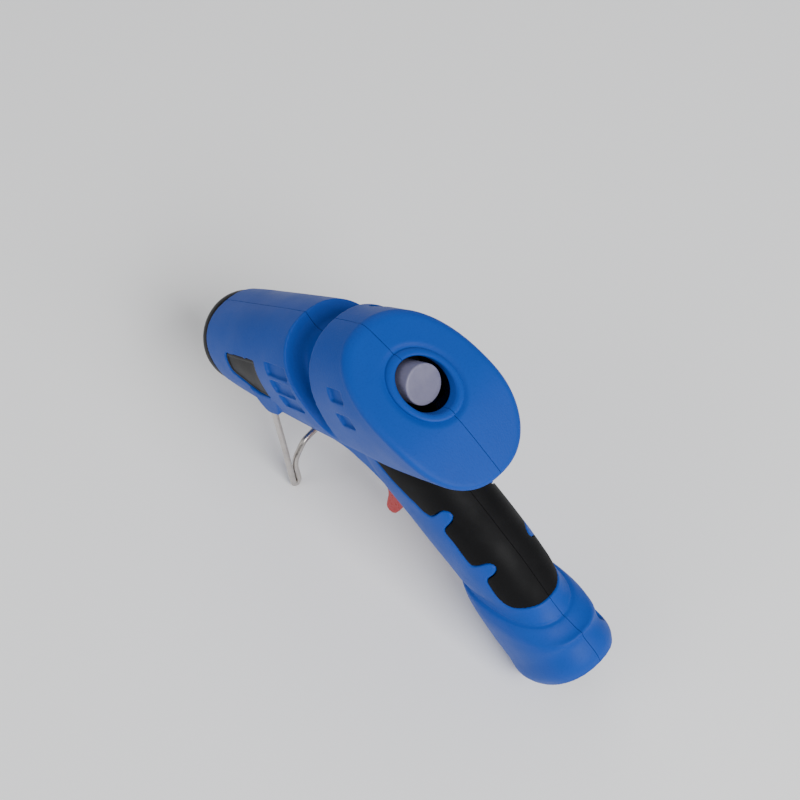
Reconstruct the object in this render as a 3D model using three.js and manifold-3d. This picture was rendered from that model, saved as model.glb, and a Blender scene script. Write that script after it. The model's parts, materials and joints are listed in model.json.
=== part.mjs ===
// Hot-melt glue gun standing on its wire stand, nose down, as on a workbench.
//
// Everything is first built in the gun's own frame, in millimetres: +X runs forward along the
// glue stick, +Y is the gun's left side, +Z is up from the stick, and the origin is where the
// stick's axis meets the rear face.  The finished gun is then pitched nose down and stood on Z = 0.

import * as THREE from 'three';
import { mergeVertices } from 'three/addons/utils/BufferGeometryUtils.js';
import Module from 'manifold-3d';

const wasm = await Module();
wasm.setup();

// ---------------------------------------------------------------- driving dimensions

const STICK_RADIUS = 5.6;
const GAP = 0.3;
const HALF_GAP = GAP / 2;
const WALL = 2.2;
const PITCH = THREE.MathUtils.degToRad(37.7);
const FAR = 200;
const SLIVER = 0.01;

// How finely round things are drawn.
const ROUND = 16;
const PIN_SEGMENTS = 12;
const TURNED_SEGMENTS = 24;

// Barrel: rear face, which leans forward above a bend and leans less below it.
const UPPER_LEAN = Math.tan(THREE.MathUtils.degToRad(39.7));
const LOWER_LEAN = Math.tan(THREE.MathUtils.degToRad(20.5));
const FACE_BEND_Z = -9.2;
const NOSE_X = 93;

// Barrel sections: where, half width, top, bottom, height of the widest place.
const BARREL = [
  { x: 0, halfWidth: 18.5, top: 17.4, bottom: -27.6, middle: -4 },
  { x: 14, halfWidth: 18.2, top: 17.4, bottom: -27.6, middle: -3.6 },
  { x: 28, halfWidth: 17.4, top: 17.3, bottom: -26.6, middle: -3 },
  { x: 44, halfWidth: 16.7, top: 17.1, bottom: -25, middle: -2.2 },
  { x: 60, halfWidth: 16.0, top: 16.3, bottom: -22.6, middle: -1.5 },
  { x: 75, halfWidth: 15.3, top: 15.4, bottom: -19.8, middle: -0.8 },
  { x: 88, halfWidth: 14.6, top: 14.6, bottom: -16.2, middle: -0.2 },
  { x: NOSE_X, halfWidth: 14.2, top: 14.2, bottom: -14.4, middle: 0 },
];
const SECTION_POWER = 2.3;
const SECTION_POINTS = 24;
const REAR_EDGE = [{ forward: 0, shrink: 1.7 }, { forward: 0.9, shrink: 0.45 }, { forward: 2.6, shrink: 0 }];
const REAR_RUN = { section: 14, x: 15.5, lean: 0.35 };
const FRONT_SECTIONS = [60, 75, 88, NOSE_X];

// Opening for the glue stick in the rear face, with a raised ring round it.
const PORT = { rimY: 9.3, rimZ: 8.7, proud: 0.8, bevel: 0.45, boreY: 7.25, boreZ: 6.8, boreReach: 11.5 };

// Waist groove over the top and down both sides, which narrows to a tip.
const WAIST = { rearX: 28.8, frontX: 43.9, tipX: 33.5, topZ: 17.2, tipZ: -14.4, leastWidth: 2, depth: 6.4 };
const WAIST_MIDDLE = 36;
const WAIST_STEPS = [0, 0.08, 0.25, 0.5, 0.75, 0.92, 1];
const WAIST_BEND = { rear: 0.4, front: 0.8, floor: 1.7, sides: 2.4 };

// Handle sections, from inside the barrel down: centre, rake in degrees, half depth, half width.
const HANDLE = [
  { x: 31.5, z: -18, rake: 28, halfDepth: 12.5, halfWidth: 10.8 },
  { x: 27.2, z: -32, rake: 24, halfDepth: 15.4, halfWidth: 11.3 },
  { x: 23.2, z: -43, rake: 22, halfDepth: 15.3, halfWidth: 11.2 },
  { x: 19.2, z: -53, rake: 21, halfDepth: 15.1, halfWidth: 11.4 },
  { x: 15.0, z: -64, rake: 19, halfDepth: 14.7, halfWidth: 11.4 },
  { x: 13.3, z: -70, rake: -3.4, halfDepth: 15.3, halfWidth: 11.3 },
  { x: 11.5, z: -76, rake: -21.2, halfDepth: 17.8, halfWidth: 11.2 },
  { x: 11.3, z: -76.9, rake: -21.2, halfDepth: 18.6, halfWidth: 11.9 },
  { x: 10.6, z: -79.4, rake: -20, halfDepth: 19.6, halfWidth: 12.7 },
  { x: 9, z: -87, rake: -3, halfDepth: 19.2, halfWidth: 13.1 },
  { x: 7.4, z: -95, rake: 16, halfDepth: 18.0, halfWidth: 13.0 },
  { x: 5.4, z: -102, rake: 16, halfDepth: 18.0, halfWidth: 13.0 },
  { x: 4.8, z: -104, rake: 16, halfDepth: 17.0, halfWidth: 12.0 },
];
const HANDLE_WALL = 3.3;
const BASE = HANDLE[HANDLE.length - 1];
const BASE_WALL = 3;
const BASE_CEILING = { x: -1.6, z: -5.6 };

// Underside between the barrel and the handle, from the front down, and two corners inside them.
const THROAT = [
  [52.4, -21.6], [50.4, -22.5], [47, -23.7], [43.8, -25.2],
  [41.6, -27.3], [39.2, -29.4], [36.9, -31.8], [34.6, -34.6],
];
const THROAT_INSIDE = [[28, -34], [28, -17], [52.4, -17]];
const THROAT_HALF_WIDTH = 10.4;
const RATING_PLATE = { first: 2, last: 7, thickness: 0.4, sunk: 0.05, fromY: 6.9, toY: 9.8 };

// Black name plate let into each flank; it carries no lettering.
const BADGE = {
  outline: [[62, 7.3], [79.8, 6.6], [80.7, 5.2], [80.5, 0.4], [68.3, -5.2], [62.2, -5.4]],
  y: 13.2,
  sunk: 0.35,
};

// Vents in the flanks, leaning parallelograms.
const VENTS = [
  { x: 43.2, z: 4.7, length: 11.6, height: 3.6 },
  { x: 42.6, z: -0.9, length: 11.6, height: 4.2 },
  { x: 42.4, z: -5.9, length: 11.2, height: 4 },
  { x: 13.2, z: 4.1, length: 6.6, height: 3.6 },
  { x: 12.4, z: -3.5, length: 6.6, height: 4 },
];
const VENT_LEAN = -0.6;
const VENT_DEPTH = 0.9;

// Soft grip let into the sides and back of the handle.
const GRIP_DEPTH = 1.5;
const GRIP_OUTLINE = [
  [30.4, -20], [28.5, -24.7], [25.2, -31.3], [21.1, -37.4], [16.8, -42.6], [13.8, -48.1], [10.8, -56],
  [7.4, -64.4], [5.9, -69.9], [4.5, -73.4], [2.8, -74.8], [-4, -76.9], [-12, -78.5], [-20, -60], [-14, -40], [-4, -20],
];

// Trigger, its pin and the slot it swings in.
const TRIGGER_PIVOT = { x: 42, z: -18.5 };
const TRIGGER_HALF_WIDTH = 5.6;
const TRIGGER_CLEARANCE = 0.5;
const TRIGGER_PIN_HALF = 10.5;
const TRIGGER = {
  hub: 3.9,
  top: [[38.4, -18], [45.6, -18], [49.4, -27]],
  fingerHollow: [[40, -41.5], [49.6, -49.6]],
  toe: [[[51.3, -51.4], [53, -53.2]], [[54.7, -55.6], [52.4, -56.7]], [[50.6, -56.9], [47.2, -54.4]]],
  back: [[41.6, -50.7], [36, -53.4], [32.4, -54.6], [29.5, -50], [28.5, -36], [36, -27]],
};
const TRIGGER_SLOT = [[36, -15], [51, -15], [51.5, -28], [62, -57.6], [26, -57.6], [24, -34], [34, -24]];

// Pivot pins and the posts that hold them.
const PIN_RADIUS = 1.45;
const PIN_HOLE_RADIUS = PIN_RADIUS + GAP;
const PIVOT_POST = 3.2;

// Lever between the trigger and the carriage: a hub, a fork round the stick and a tail.
const LEVER_PIVOT = { x: 19, z: -18 };
const TRUNNION_X = 16;
const LEVER = {
  hub: 3.4, hubHalf: 6.8, pinHalf: 12.8, postY: 7.4,
  neckHalf: 3, neckHalfWidth: 5.5, webTop: 7, webBottom: 4.5, webRear: 3.4, webFront: 2.4,
  prongHalf: 4.4, prongTop: 22, forkHalf: 2.3, forkBottom: 15.5, prongInner: 8.5, prongOuter: 10.5,
  tail: [[16.4, -19], [22, -19.5], [27.4, -34], [27.2, -38], [24.6, -38.6]],
  tailHalfWidth: 3,
  slot: [14.6, 20, -3.6, 3.6, -30, -22],
};

// Carriage and jaw on the glue stick.
const CARRIAGE = { rear: 12, front: 20.5, bore: 6.1, radius: 7.9, trunnionRadius: 1.8, trunnionHalf: 10.9 };
const JAW = { rear: 21.2, front: 23.2, bore: 6.1, radius: 7.5 };
const STICK = { rear: 0.5, front: 62, chamfer: 0.3 };

// Return spring, between the lever's tail and the back of the handle.
const SPRING = {
  x: 22.4, z: -35.4, dip: 0.396, length: 8.8, radius: 2.4, turns: 5, wireRadius: 0.4, stepsPerTurn: 8, sides: 6,
};

// Wire stand: legs from pivots in the barrel's sides to two feet, with an arch between them.
const STAND = {
  x: 68.25, z: -10.2, halfWidth: 13.8, legLength: 45.9, lean: 31.3, archDrop: 28.1, wireRadius: 1,
  endReach: 5.3, boss: 3.4, fold: 44, slotSpare: 4, slotMargin: 0.1, steps: 76, sides: 8,
};
const STAND_ROOM = STAND.wireRadius + GAP;

// Fuller stretch of the barrel's flanks over the stand's pivots.
const CHEEK = { outline: [[60.5, -3], [61, -8.5], [64, -12.6], [70.4, -12.6], [72.2, -9.5], [73, -3]], halfWidth: 15.7 };

// Housing screws, all driven from the gun's right side.
const SCREWS = [
  { x: 24, z: 12.3 },
  { x: -3.5, z: -20.3 },
  { x: 56, z: -17.6 },
  { x: 85, z: -12.4 },
  { x: 15.8, z: -48 },
  { x: -3.4, z: -92.5 },
  { x: 18.6, z: -96 },
];
const SCREW = {
  shank: 1.15, head: 2.6, headHeight: 1.8, seatY: 4.5, tipY: 6.8, counterbore: 3,
  headPost: 3.8, tipPost: 2.9, slotHalf: 0.5, slotDepth: 0.7, slotReach: 1.7,
};

// Nose: profiles are pairs of distance along the stick and radius.
const NOSE_COLLAR = [
  [NOSE_X + GAP, 11.6], [NOSE_X + GAP, 14.1], [96.2, 14.1], [97.6, 13.3], [98.5, 11.8],
  [98.9, 9.6], [98.9, 7.4], [96.6, 7.4], [96.6, 10.4], [95.2, 11.6],
];
const NOZZLE = [
  [93.4, 1.3], [93.4, 5.2], [100, 5.2], [100, 4.6], [108.5, 2.1], [111.5, 1.6], [111.5, 0.8], [105, 0.9],
];
const NOZZLE_JACKET = [
  [95, 5.5], [95, 6.9], [100.5, 6.9], [101.5, 6.4], [107.5, 3.9], [107.5, 2.8], [100.3, 5.0], [100.3, 5.5],
];

// Heating chamber along the stick axis; blocks are from and to in x, y and z.
const CHAMBER = {
  rear: 51.5, shoulder: 76, front: 90, radius: 9.5, bore: 5.9, neck: 7, threadBore: 3,
  heaterBox: [59.6, 77, -6.4, 6.4, -14.8, -4], heaterSlot: [61.6, 75.4, -9, 9, -13.2, -10.2],
};
const HEATER = [62, 75, -6, 6, -12.9, -10.5];
const HEATER_CLIP = { outside: [66, 71, -7.6, 7.6, -15.7, -6.6], inside: [65, 72, -6.8, 6.8, -15.1, -6] };
const INLET_SLEEVE = { rear: 37, step: 48.4, lip: CHAMBER.rear - GAP, bore: 5.95, radius: 8, lipRadius: 9.2 };
const RIB = { rearX: 57, frontX: 88, thickness: 1.8, roomHalfWidth: 10.6, roomBottom: -18.5, roomTop: -6 };

// Heater leads, terminal block and cord gland in the handle.
const LEAD = {
  route: [
    [11.6, -69.5], [15, -62], [20, -52], [24, -42], [27.5, -33], [28.5, -25], [32, -16], [38, -12.8],
    [48, -12.4], [58, -12.4],
  ],
  insideBlock: 2, blockY: 5.2, freeY: 6.7, radius: 0.5, steps: 36, sides: 6,
};
const TERMINAL_BLOCK = { x: 10.3, z: -73.6, depth: 10, width: 11, height: 7, rake: 17 };
const GLAND = {
  hole: 4.4, holeLength: 20,
  profile: [[-3.4, 3.2], [-3.4, 6], [-0.6, 6], [-0.6, 4.1], [4.4, 4.1], [4.4, 5.8], [6, 5.8], [6, 3.2]],
};

// ---------------------------------------------------------------- materials

function plastic(color, roughness) {
  return new THREE.MeshStandardMaterial({ color, roughness, metalness: 0 });
}

function metal(color, roughness) {
  return new THREE.MeshStandardMaterial({ color, roughness, metalness: 1 });
}

const MATERIALS = {
  blue: plastic(0x1b57b0, 0.5),
  grip: plastic(0x1c1c1f, 0.75),
  black: plastic(0x202024, 0.5),
  red: plastic(0xe0241a, 0.35),
  steel: metal(0xb9bbbe, 0.3),
  brass: metal(0xc9a24d, 0.35),
  aluminium: metal(0xa9abad, 0.45),
  silicone: plastic(0x8a3326, 0.7),
  ceramic: plastic(0xe6e2d8, 0.6),
  glue: plastic(0xb4b4c4, 0.3),
  label: metal(0xc4c6c8, 0.4),
  wire: plastic(0xe8e8e4, 0.5),
};

// ---------------------------------------------------------------- solids

function signedVolume(position, index) {
  const corners = [0, 1, 2].map(() => new THREE.Vector3());
  let volume = 0;
  for (let i = 0; i < index.count; i += 3) {
    corners.forEach((corner, k) => corner.fromBufferAttribute(position, index.getX(i + k)));
    volume += corners[0].dot(corners[1].cross(corners[2]));
  }
  return volume;
}

// A three.js geometry as a solid that can be cut and joined, with its faces pointing out.
function solid(geometry, weld = 1e-4) {
  const bare = geometry.clone();
  bare.deleteAttribute('normal');
  bare.deleteAttribute('uv');
  const merged = mergeVertices(bare, weld);
  const triVerts = Uint32Array.from(merged.index.array);
  if (signedVolume(merged.attributes.position, merged.index) < 0) {
    for (let i = 0; i < triVerts.length; i += 3) {
      [triVerts[i], triVerts[i + 1]] = [triVerts[i + 1], triVerts[i]];
    }
  }
  const vertProperties = Float32Array.from(merged.attributes.position.array);
  return new wasm.Manifold(new wasm.Mesh({ numProp: 3, vertProperties, triVerts }));
}

function geometryOf(manifold) {
  const mesh = manifold.getMesh();
  const geometry = new THREE.BufferGeometry();
  geometry.setAttribute('position', new THREE.BufferAttribute(Float32Array.from(mesh.vertProperties), 3));
  geometry.setIndex(new THREE.BufferAttribute(Uint32Array.from(mesh.triVerts), 1));
  return geometry;
}

function join(first, ...rest) {
  return rest.reduce((sum, next) => sum.add(next), first);
}

function cut(first, ...rest) {
  return rest.reduce((sum, next) => sum.subtract(next), first);
}

// The one real body of a cut solid, without the slivers that a cut can leave.
function largest(manifold) {
  const welded = solid(geometryOf(manifold), SLIVER);
  return welded.decompose().reduce((best, body) => (body.volume() > best.volume() ? body : best));
}

// A closed skin through rings of equally many points, with a fan over each end.
function skin(rings) {
  const count = rings[0].length;
  const points = rings.flat();
  const index = [];
  for (let r = 0; r < rings.length - 1; r += 1) {
    for (let i = 0; i < count; i += 1) {
      const a = r * count + i;
      const b = r * count + ((i + 1) % count);
      index.push(a, b, b + count, a, b + count, a + count);
    }
  }
  [0, rings.length - 1].forEach((r) => {
    const centre = points.length;
    const middle = new THREE.Vector3();
    rings[r].forEach((point) => middle.addScaledVector(point, 1 / count));
    points.push(middle);
    for (let i = 0; i < count; i += 1) {
      const a = r * count + i;
      const b = r * count + ((i + 1) % count);
      index.push(...(r === 0 ? [centre, b, a] : [centre, a, b]));
    }
  });
  const geometry = new THREE.BufferGeometry().setFromPoints(points);
  geometry.setIndex(index);
  return solid(geometry);
}

// Solid of revolution about the line through (0, 0) along +X, from [x, radius] pairs.
function turned(profile, segments = ROUND) {
  const outline = profile.map(([x, radius]) => new THREE.Vector2(radius, x));
  const closed = profile[0][1] === 0 ? outline : [...outline, outline[0]];
  return solid(new THREE.LatheGeometry(closed, segments).rotateZ(-Math.PI / 2));
}

// Cylinder across the gun, along Y, from one y to another.
function crossPin(x, z, radius, fromY, toY, segments = PIN_SEGMENTS) {
  const geometry = new THREE.CylinderGeometry(radius, radius, toY - fromY, segments);
  return solid(geometry.translate(x, (fromY + toY) / 2, z));
}

function block(fromX, toX, fromY, toY, fromZ, toZ) {
  const geometry = new THREE.BoxGeometry(toX - fromX, toY - fromY, toZ - fromZ);
  return solid(geometry.translate((fromX + toX) / 2, (fromY + toY) / 2, (fromZ + toZ) / 2));
}

// Flat outline in the gun's X-Z plane, given a thickness from one y to another.
function plate(shape, fromY, toY, curveSegments = 6) {
  const options = { depth: toY - fromY, bevelEnabled: false, curveSegments };
  const geometry = new THREE.ExtrudeGeometry(shape, options);
  return solid(geometry.rotateX(Math.PI / 2).translate(0, toY, 0));
}

function outline(points) {
  return new THREE.Shape(points.map(([x, z]) => new THREE.Vector2(x, z)));
}

// Round bar along a curve through the points.
function bar(curve, radius, steps, sides = 8) {
  const section = new THREE.Shape();
  for (let i = 0; i < sides; i += 1) {
    const turn = (2 * Math.PI * i) / sides;
    const place = [radius * Math.cos(turn), radius * Math.sin(turn)];
    section[i === 0 ? 'moveTo' : 'lineTo'](...place);
  }
  section.closePath();
  return solid(new THREE.ExtrudeGeometry(section, { steps, extrudePath: curve, bevelEnabled: false }));
}

// ---------------------------------------------------------------- barrel and handle forms

// Where the rear face stands at a given height.
function rearFaceX(z) {
  const bendX = FACE_BEND_Z * UPPER_LEAN;
  return z > FACE_BEND_Z ? z * UPPER_LEAN : bendX + (z - FACE_BEND_Z) * LOWER_LEAN;
}

function barrelAt(x) {
  const last = BARREL.length - 1;
  const next = Math.max(1, BARREL.findIndex((station, i) => i === last || station.x >= x));
  const [a, b] = [BARREL[next - 1], BARREL[next]];
  const share = THREE.MathUtils.clamp((x - a.x) / (b.x - a.x), 0, 1);
  const mix = (key) => THREE.MathUtils.lerp(a[key], b[key], share);
  return { halfWidth: mix('halfWidth'), top: mix('top'), bottom: mix('bottom'), middle: mix('middle') };
}

function rounded(value, power) {
  return Math.sign(value) * Math.abs(value) ** (2 / power);
}

// Point of the barrel's section at one place along it, inset from the outside.
function barrelPoint(x, turn, inset) {
  const section = barrelAt(x);
  const up = Math.sin(turn);
  const reach = up > 0 ? section.top - section.middle : section.middle - section.bottom;
  const y = (section.halfWidth - inset) * rounded(Math.cos(turn), SECTION_POWER);
  const z = section.middle + (reach - inset) * rounded(up, SECTION_POWER);
  return new THREE.Vector3(x, y, z);
}

// How far the waist reaches down the sides: 1 at the top, 0 at the tip.
function waistShare(z) {
  return THREE.MathUtils.clamp((z - WAIST.tipZ) / (WAIST.topZ - WAIST.tipZ), 0, 1);
}

function waistX(across, z, spread) {
  const share = waistShare(z);
  const rear = THREE.MathUtils.lerp(WAIST.tipX - WAIST.leastWidth / 2, WAIST.rearX, share ** WAIST_BEND.rear);
  const front = THREE.MathUtils.lerp(WAIST.tipX + WAIST.leastWidth / 2, WAIST.frontX, share ** WAIST_BEND.front);
  return THREE.MathUtils.lerp(rear - spread, front + spread, across);
}

function waistDepth(across, z) {
  const floor = Math.min(1, Math.sin(Math.PI * across) * WAIST_BEND.floor);
  return WAIST.depth * floor * Math.min(1, waistShare(z) * WAIST_BEND.sides);
}

function ringOf(pointAt) {
  return Array.from({ length: SECTION_POINTS }, (_, i) => pointAt((2 * Math.PI * i) / SECTION_POINTS));
}

// The barrel, solid, moved in by the inset; its rear rings follow the rear face.
function barrel(inset) {
  const rings = [];
  REAR_EDGE.forEach(({ forward, shrink }) => {
    rings.push(ringOf((turn) => {
      const point = barrelPoint(0, turn, inset + (inset ? 0 : shrink));
      point.x = rearFaceX(point.z) + inset + forward;
      return point;
    }));
  });
  rings.push(ringOf((turn) => {
    const point = barrelPoint(REAR_RUN.section, turn, inset);
    point.x = REAR_RUN.x + rearFaceX(point.z) * REAR_RUN.lean;
    return point;
  }));
  WAIST_STEPS.forEach((share) => {
    rings.push(ringOf((turn) => {
      const guess = barrelPoint(WAIST_MIDDLE, turn, inset);
      const x = waistX(share, guess.z, inset);
      const point = barrelPoint(x, turn, inset);
      const radius = Math.hypot(point.y, point.z);
      const scale = 1 - waistDepth(share, guess.z) / radius;
      return point.set(x, point.y * scale, point.z * scale);
    }));
  });
  FRONT_SECTIONS.forEach((x) => {
    rings.push(ringOf((turn) => barrelPoint(x, turn, inset)));
  });
  if (inset) {
    rings.push(ringOf((turn) => barrelPoint(NOSE_X, turn, inset).setX(NOSE_X + WALL)));
  }
  return skin(rings);
}

function handleRing(station, inset) {
  const rake = THREE.MathUtils.degToRad(station.rake);
  return ringOf((turn) => {
    const forward = (station.halfDepth - inset) * rounded(Math.cos(turn), SECTION_POWER);
    const y = (station.halfWidth - inset) * rounded(Math.sin(turn), SECTION_POWER);
    const x = station.x + forward * Math.cos(rake);
    return new THREE.Vector3(x, y, station.z - forward * Math.sin(rake));
  });
}

// The handle, solid; an inner one stops short of the base's bottom wall.
function handle(inset) {
  const rings = HANDLE.map((station) => handleRing(station, inset));
  if (inset >= BASE_WALL) {
    rings.splice(-2, 2);
    const drop = new THREE.Vector3(BASE_CEILING.x, 0, BASE_CEILING.z);
    rings[rings.length - 1].forEach((point) => point.add(drop));
  }
  return skin(rings);
}

// ---------------------------------------------------------------- stand geometry

function standLocal(down, y) {
  const lean = THREE.MathUtils.degToRad(STAND.lean);
  return new THREE.Vector3(STAND.x + down * Math.sin(lean), y, STAND.z - down * Math.cos(lean));
}

// Half of the bent wire, from its end in the barrel's side to the middle of the arch: how far
// down the leg from the pivot, and how far in from the leg.
const WIRE_HALF = [
  [0, STAND.endReach], [0, 2.4], [0.5, 0.4], [2.4, 0], [STAND.legLength * 0.5, 0], [STAND.legLength - 3.4, 0],
  [STAND.legLength - 0.9, 0.15], [STAND.legLength, 1.1], [STAND.legLength - 0.9, 2.05], [STAND.legLength - 3.4, 2.2],
  [STAND.archDrop + 9, 2.25], [STAND.archDrop + 5.7, 3.1], [STAND.archDrop + 3.2, 5], [STAND.archDrop + 0.9, 7.4],
  [STAND.archDrop + 0.2, 10], [STAND.archDrop, 12.4],
];

function standHalf(side) {
  return WIRE_HALF.map(([down, inwards]) => standLocal(down, side * (STAND.halfWidth - inwards)));
}

const FOOT = standLocal(STAND.legLength, 0);

// Height above the bench of a point in the gun's frame, measured along the bench's normal.
function heightAlongBench(x, z) {
  return -x * Math.sin(PITCH) + z * Math.cos(PITCH);
}

const BENCH = heightAlongBench(FOOT.x, FOOT.z) - STAND.wireRadius;

// Everything below the bench, in the gun's frame.
function belowBench() {
  const slab = new THREE.BoxGeometry(2 * FAR, FAR, FAR);
  slab.translate(0, 0, BENCH - FAR / 2);
  return solid(slab.rotateY(-PITCH));
}

// ---------------------------------------------------------------- housing

function halfSpace(side) {
  return side > 0 ? block(-FAR, FAR, HALF_GAP, FAR, -FAR, FAR) : block(-FAR, FAR, -FAR, -HALF_GAP, -FAR, FAR);
}

// Pin across one side of the gun only, between two distances from its middle plane.
function sidedPin({ x, z }, radius, side, fromY, toY, segments = PIN_SEGMENTS) {
  return side > 0
    ? crossPin(x, z, radius, fromY, toY, segments)
    : crossPin(x, z, radius, -toY, -fromY, segments);
}

// Plate on one side of the gun only, between two distances from its middle plane.
function sidedPlate(shape, side, fromY, toY) {
  return side > 0 ? plate(shape, fromY, toY) : plate(shape, -toY, -fromY);
}

// Raised ring round the stick's opening, standing off the rear face.
function portRim() {
  const ringAt = (forward, shrink) => ringOf((turn) => {
    const y = (PORT.rimY - shrink) * Math.cos(turn);
    const z = (PORT.rimZ - shrink) * Math.sin(turn);
    return new THREE.Vector3(rearFaceX(z) + forward, y, z);
  });
  return skin([ringAt(-PORT.proud, PORT.bevel), ringAt(PORT.bevel - PORT.proud, 0), ringAt(WALL, 0)]);
}

function portBore() {
  const ringAt = (x) => ringOf((turn) => {
    return new THREE.Vector3(x, PORT.boreY * Math.cos(turn), PORT.boreZ * Math.sin(turn));
  });
  return skin([ringAt(-PORT.boreReach), ringAt(PORT.boreReach)]);
}

// Leaning outline of one vent in the barrel's flanks.
function ventShape({ x, z, length, height }) {
  return outline([[x + VENT_LEAN, z], [x + length + VENT_LEAN, z], [x + length, z + height], [x, z + height]]);
}

// Shallow pockets in both flanks, of the same depth all over.
function ventPockets() {
  return join(...VENTS.map((vent) => plate(ventShape(vent), -FAR, FAR))).subtract(barrel(VENT_DEPTH));
}

// Post from the parting plane to the barrel's or handle's side.
function screwPost(place, side) {
  return sidedPin(place, side > 0 ? SCREW.tipPost : SCREW.headPost, side, 0, FAR);
}

function screwHole(place, side) {
  if (side > 0) {
    return sidedPin(place, SCREW.shank + GAP, side, 0, SCREW.tipY + GAP);
  }
  const clearance = sidedPin(place, SCREW.shank + GAP, side, 0, SCREW.seatY + GAP);
  return clearance.add(sidedPin(place, SCREW.counterbore, side, SCREW.seatY - GAP, FAR));
}

// Rib across the barrel with a round seat for the heating chamber and room for its heater.
function chamberRib(x, seatRadius) {
  const rib = block(x, x + RIB.thickness, -FAR, FAR, -FAR, FAR);
  const [rear, front] = [x - GAP, x + RIB.thickness + GAP];
  const seat = turned([[rear, 0], [rear, seatRadius], [front, seatRadius], [front, 0]]);
  const heaterRoom = block(rear, front, -RIB.roomHalfWidth, RIB.roomHalfWidth, RIB.roomBottom, RIB.roomTop);
  return rib.subtract(seat).subtract(heaterRoom);
}

// A clockwise outline moved outwards, square to its edges.
function grown(points, distance) {
  const corners = points.map(([x, z]) => new THREE.Vector2(x, z));
  const normals = corners.map((corner, i) => {
    const edge = corners[(i + 1) % corners.length].clone().sub(corner).normalize();
    return new THREE.Vector2(-edge.y, edge.x);
  });
  return corners.map((corner, i) => {
    const before = normals[(i + normals.length - 1) % normals.length];
    const mitre = before.clone().add(normals[i]).normalize();
    const moved = corner.clone().addScaledVector(mitre, distance / mitre.dot(before));
    return [moved.x, moved.y];
  });
}

function gripRegion(grow) {
  return plate(outline(grown(GRIP_OUTLINE, grow)), -FAR, FAR);
}

// Underside of the barrel that flares into the handle's front, either side of the trigger.
function throat() {
  return plate(outline([...THROAT, ...THROAT_INSIDE]), -THROAT_HALF_WIDTH, THROAT_HALF_WIDTH);
}

// Band along the throat's underside, between two depths below its surface.
function throatBand(first, last, deep, shallow) {
  const line = THROAT.slice(first, last).map(([x, z]) => new THREE.Vector2(x, z));
  const sunk = (depth) => line.map((point, i) => {
    const ahead = line[Math.min(i + 1, line.length - 1)];
    const behind = line[Math.max(i - 1, 0)];
    const edge = ahead.clone().sub(behind).normalize();
    return [point.x + depth * edge.y, point.y - depth * edge.x];
  });
  return outline([...sunk(deep), ...sunk(shallow).reverse()]);
}

function ratingPlate() {
  const { first, last, thickness, sunk, fromY, toY } = RATING_PLATE;
  return plate(throatBand(first, last, sunk + thickness, sunk), fromY, toY);
}

function ratingRecess() {
  const { first, last, thickness, sunk, fromY, toY } = RATING_PLATE;
  return plate(throatBand(first - 1, last + 1, sunk + thickness + GAP, -THROAT_HALF_WIDTH), fromY - GAP, toY + GAP);
}

function triggerSlot() {
  const halfWidth = TRIGGER_HALF_WIDTH + TRIGGER_CLEARANCE;
  return plate(outline(TRIGGER_SLOT), -halfWidth, halfWidth);
}

// Room behind the lever's tail, where it swings past the barrel's lower wall.
function leverSlot() {
  return block(...LEVER.slot);
}

// Fuller stretch of the barrel's flanks, which hides the stand's pivots.
function standCheeks() {
  return plate(outline(CHEEK.outline), -CHEEK.halfWidth, CHEEK.halfWidth);
}

// Room in the barrel's flank for one end of the stand and the bend beside it.
function standBore(side) {
  return sidedPin(STAND, STAND_ROOM, side, STAND.halfWidth - STAND.endReach - GAP, STAND.halfWidth + STAND_ROOM);
}

function standBoss(side) {
  return sidedPin(STAND, STAND.boss, side, STAND.halfWidth - STAND.endReach - GAP, STAND.halfWidth - STAND_ROOM);
}

// Room in the barrel's flank for one leg of the stand, from standing to folded.
function standSlot(side) {
  const across = STAND_ROOM + STAND.slotMargin;
  const place = (degrees, down, forward) => {
    const turn = THREE.MathUtils.degToRad(degrees);
    return [
      STAND.x + down * Math.sin(turn) + forward * Math.cos(turn),
      STAND.z - down * Math.cos(turn) + forward * Math.sin(turn),
    ];
  };
  const standing = STAND.lean - STAND.slotSpare;
  const folded = STAND.lean + STAND.fold + STAND.slotSpare;
  const shape = outline([
    place(standing, -across, -across), place(standing, FAR, -across),
    place(folded, FAR, across), place(folded, -across, across),
  ]);
  return sidedPlate(shape, side, STAND.halfWidth - STAND_ROOM + SLIVER, STAND.halfWidth + STAND_ROOM - SLIVER);
}

function glandHole() {
  const hole = new THREE.CylinderGeometry(GLAND.hole, GLAND.hole, GLAND.holeLength, ROUND).rotateX(Math.PI / 2);
  return solid(hole.rotateY(THREE.MathUtils.degToRad(BASE.rake)).translate(BASE.x, 0, BASE.z));
}

function badgeRecess(side) {
  return sidedPlate(outline(grown(BADGE.outline, GAP)), side, BADGE.y - GAP, FAR);
}

const outerBarrel = barrel(0);
const outerHandle = handle(0);
const outerForm = join(outerBarrel, outerHandle, portRim(), standCheeks(), throat()).subtract(belowBench());
const innerForm = barrel(WALL).add(handle(HANDLE_WALL));

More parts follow.
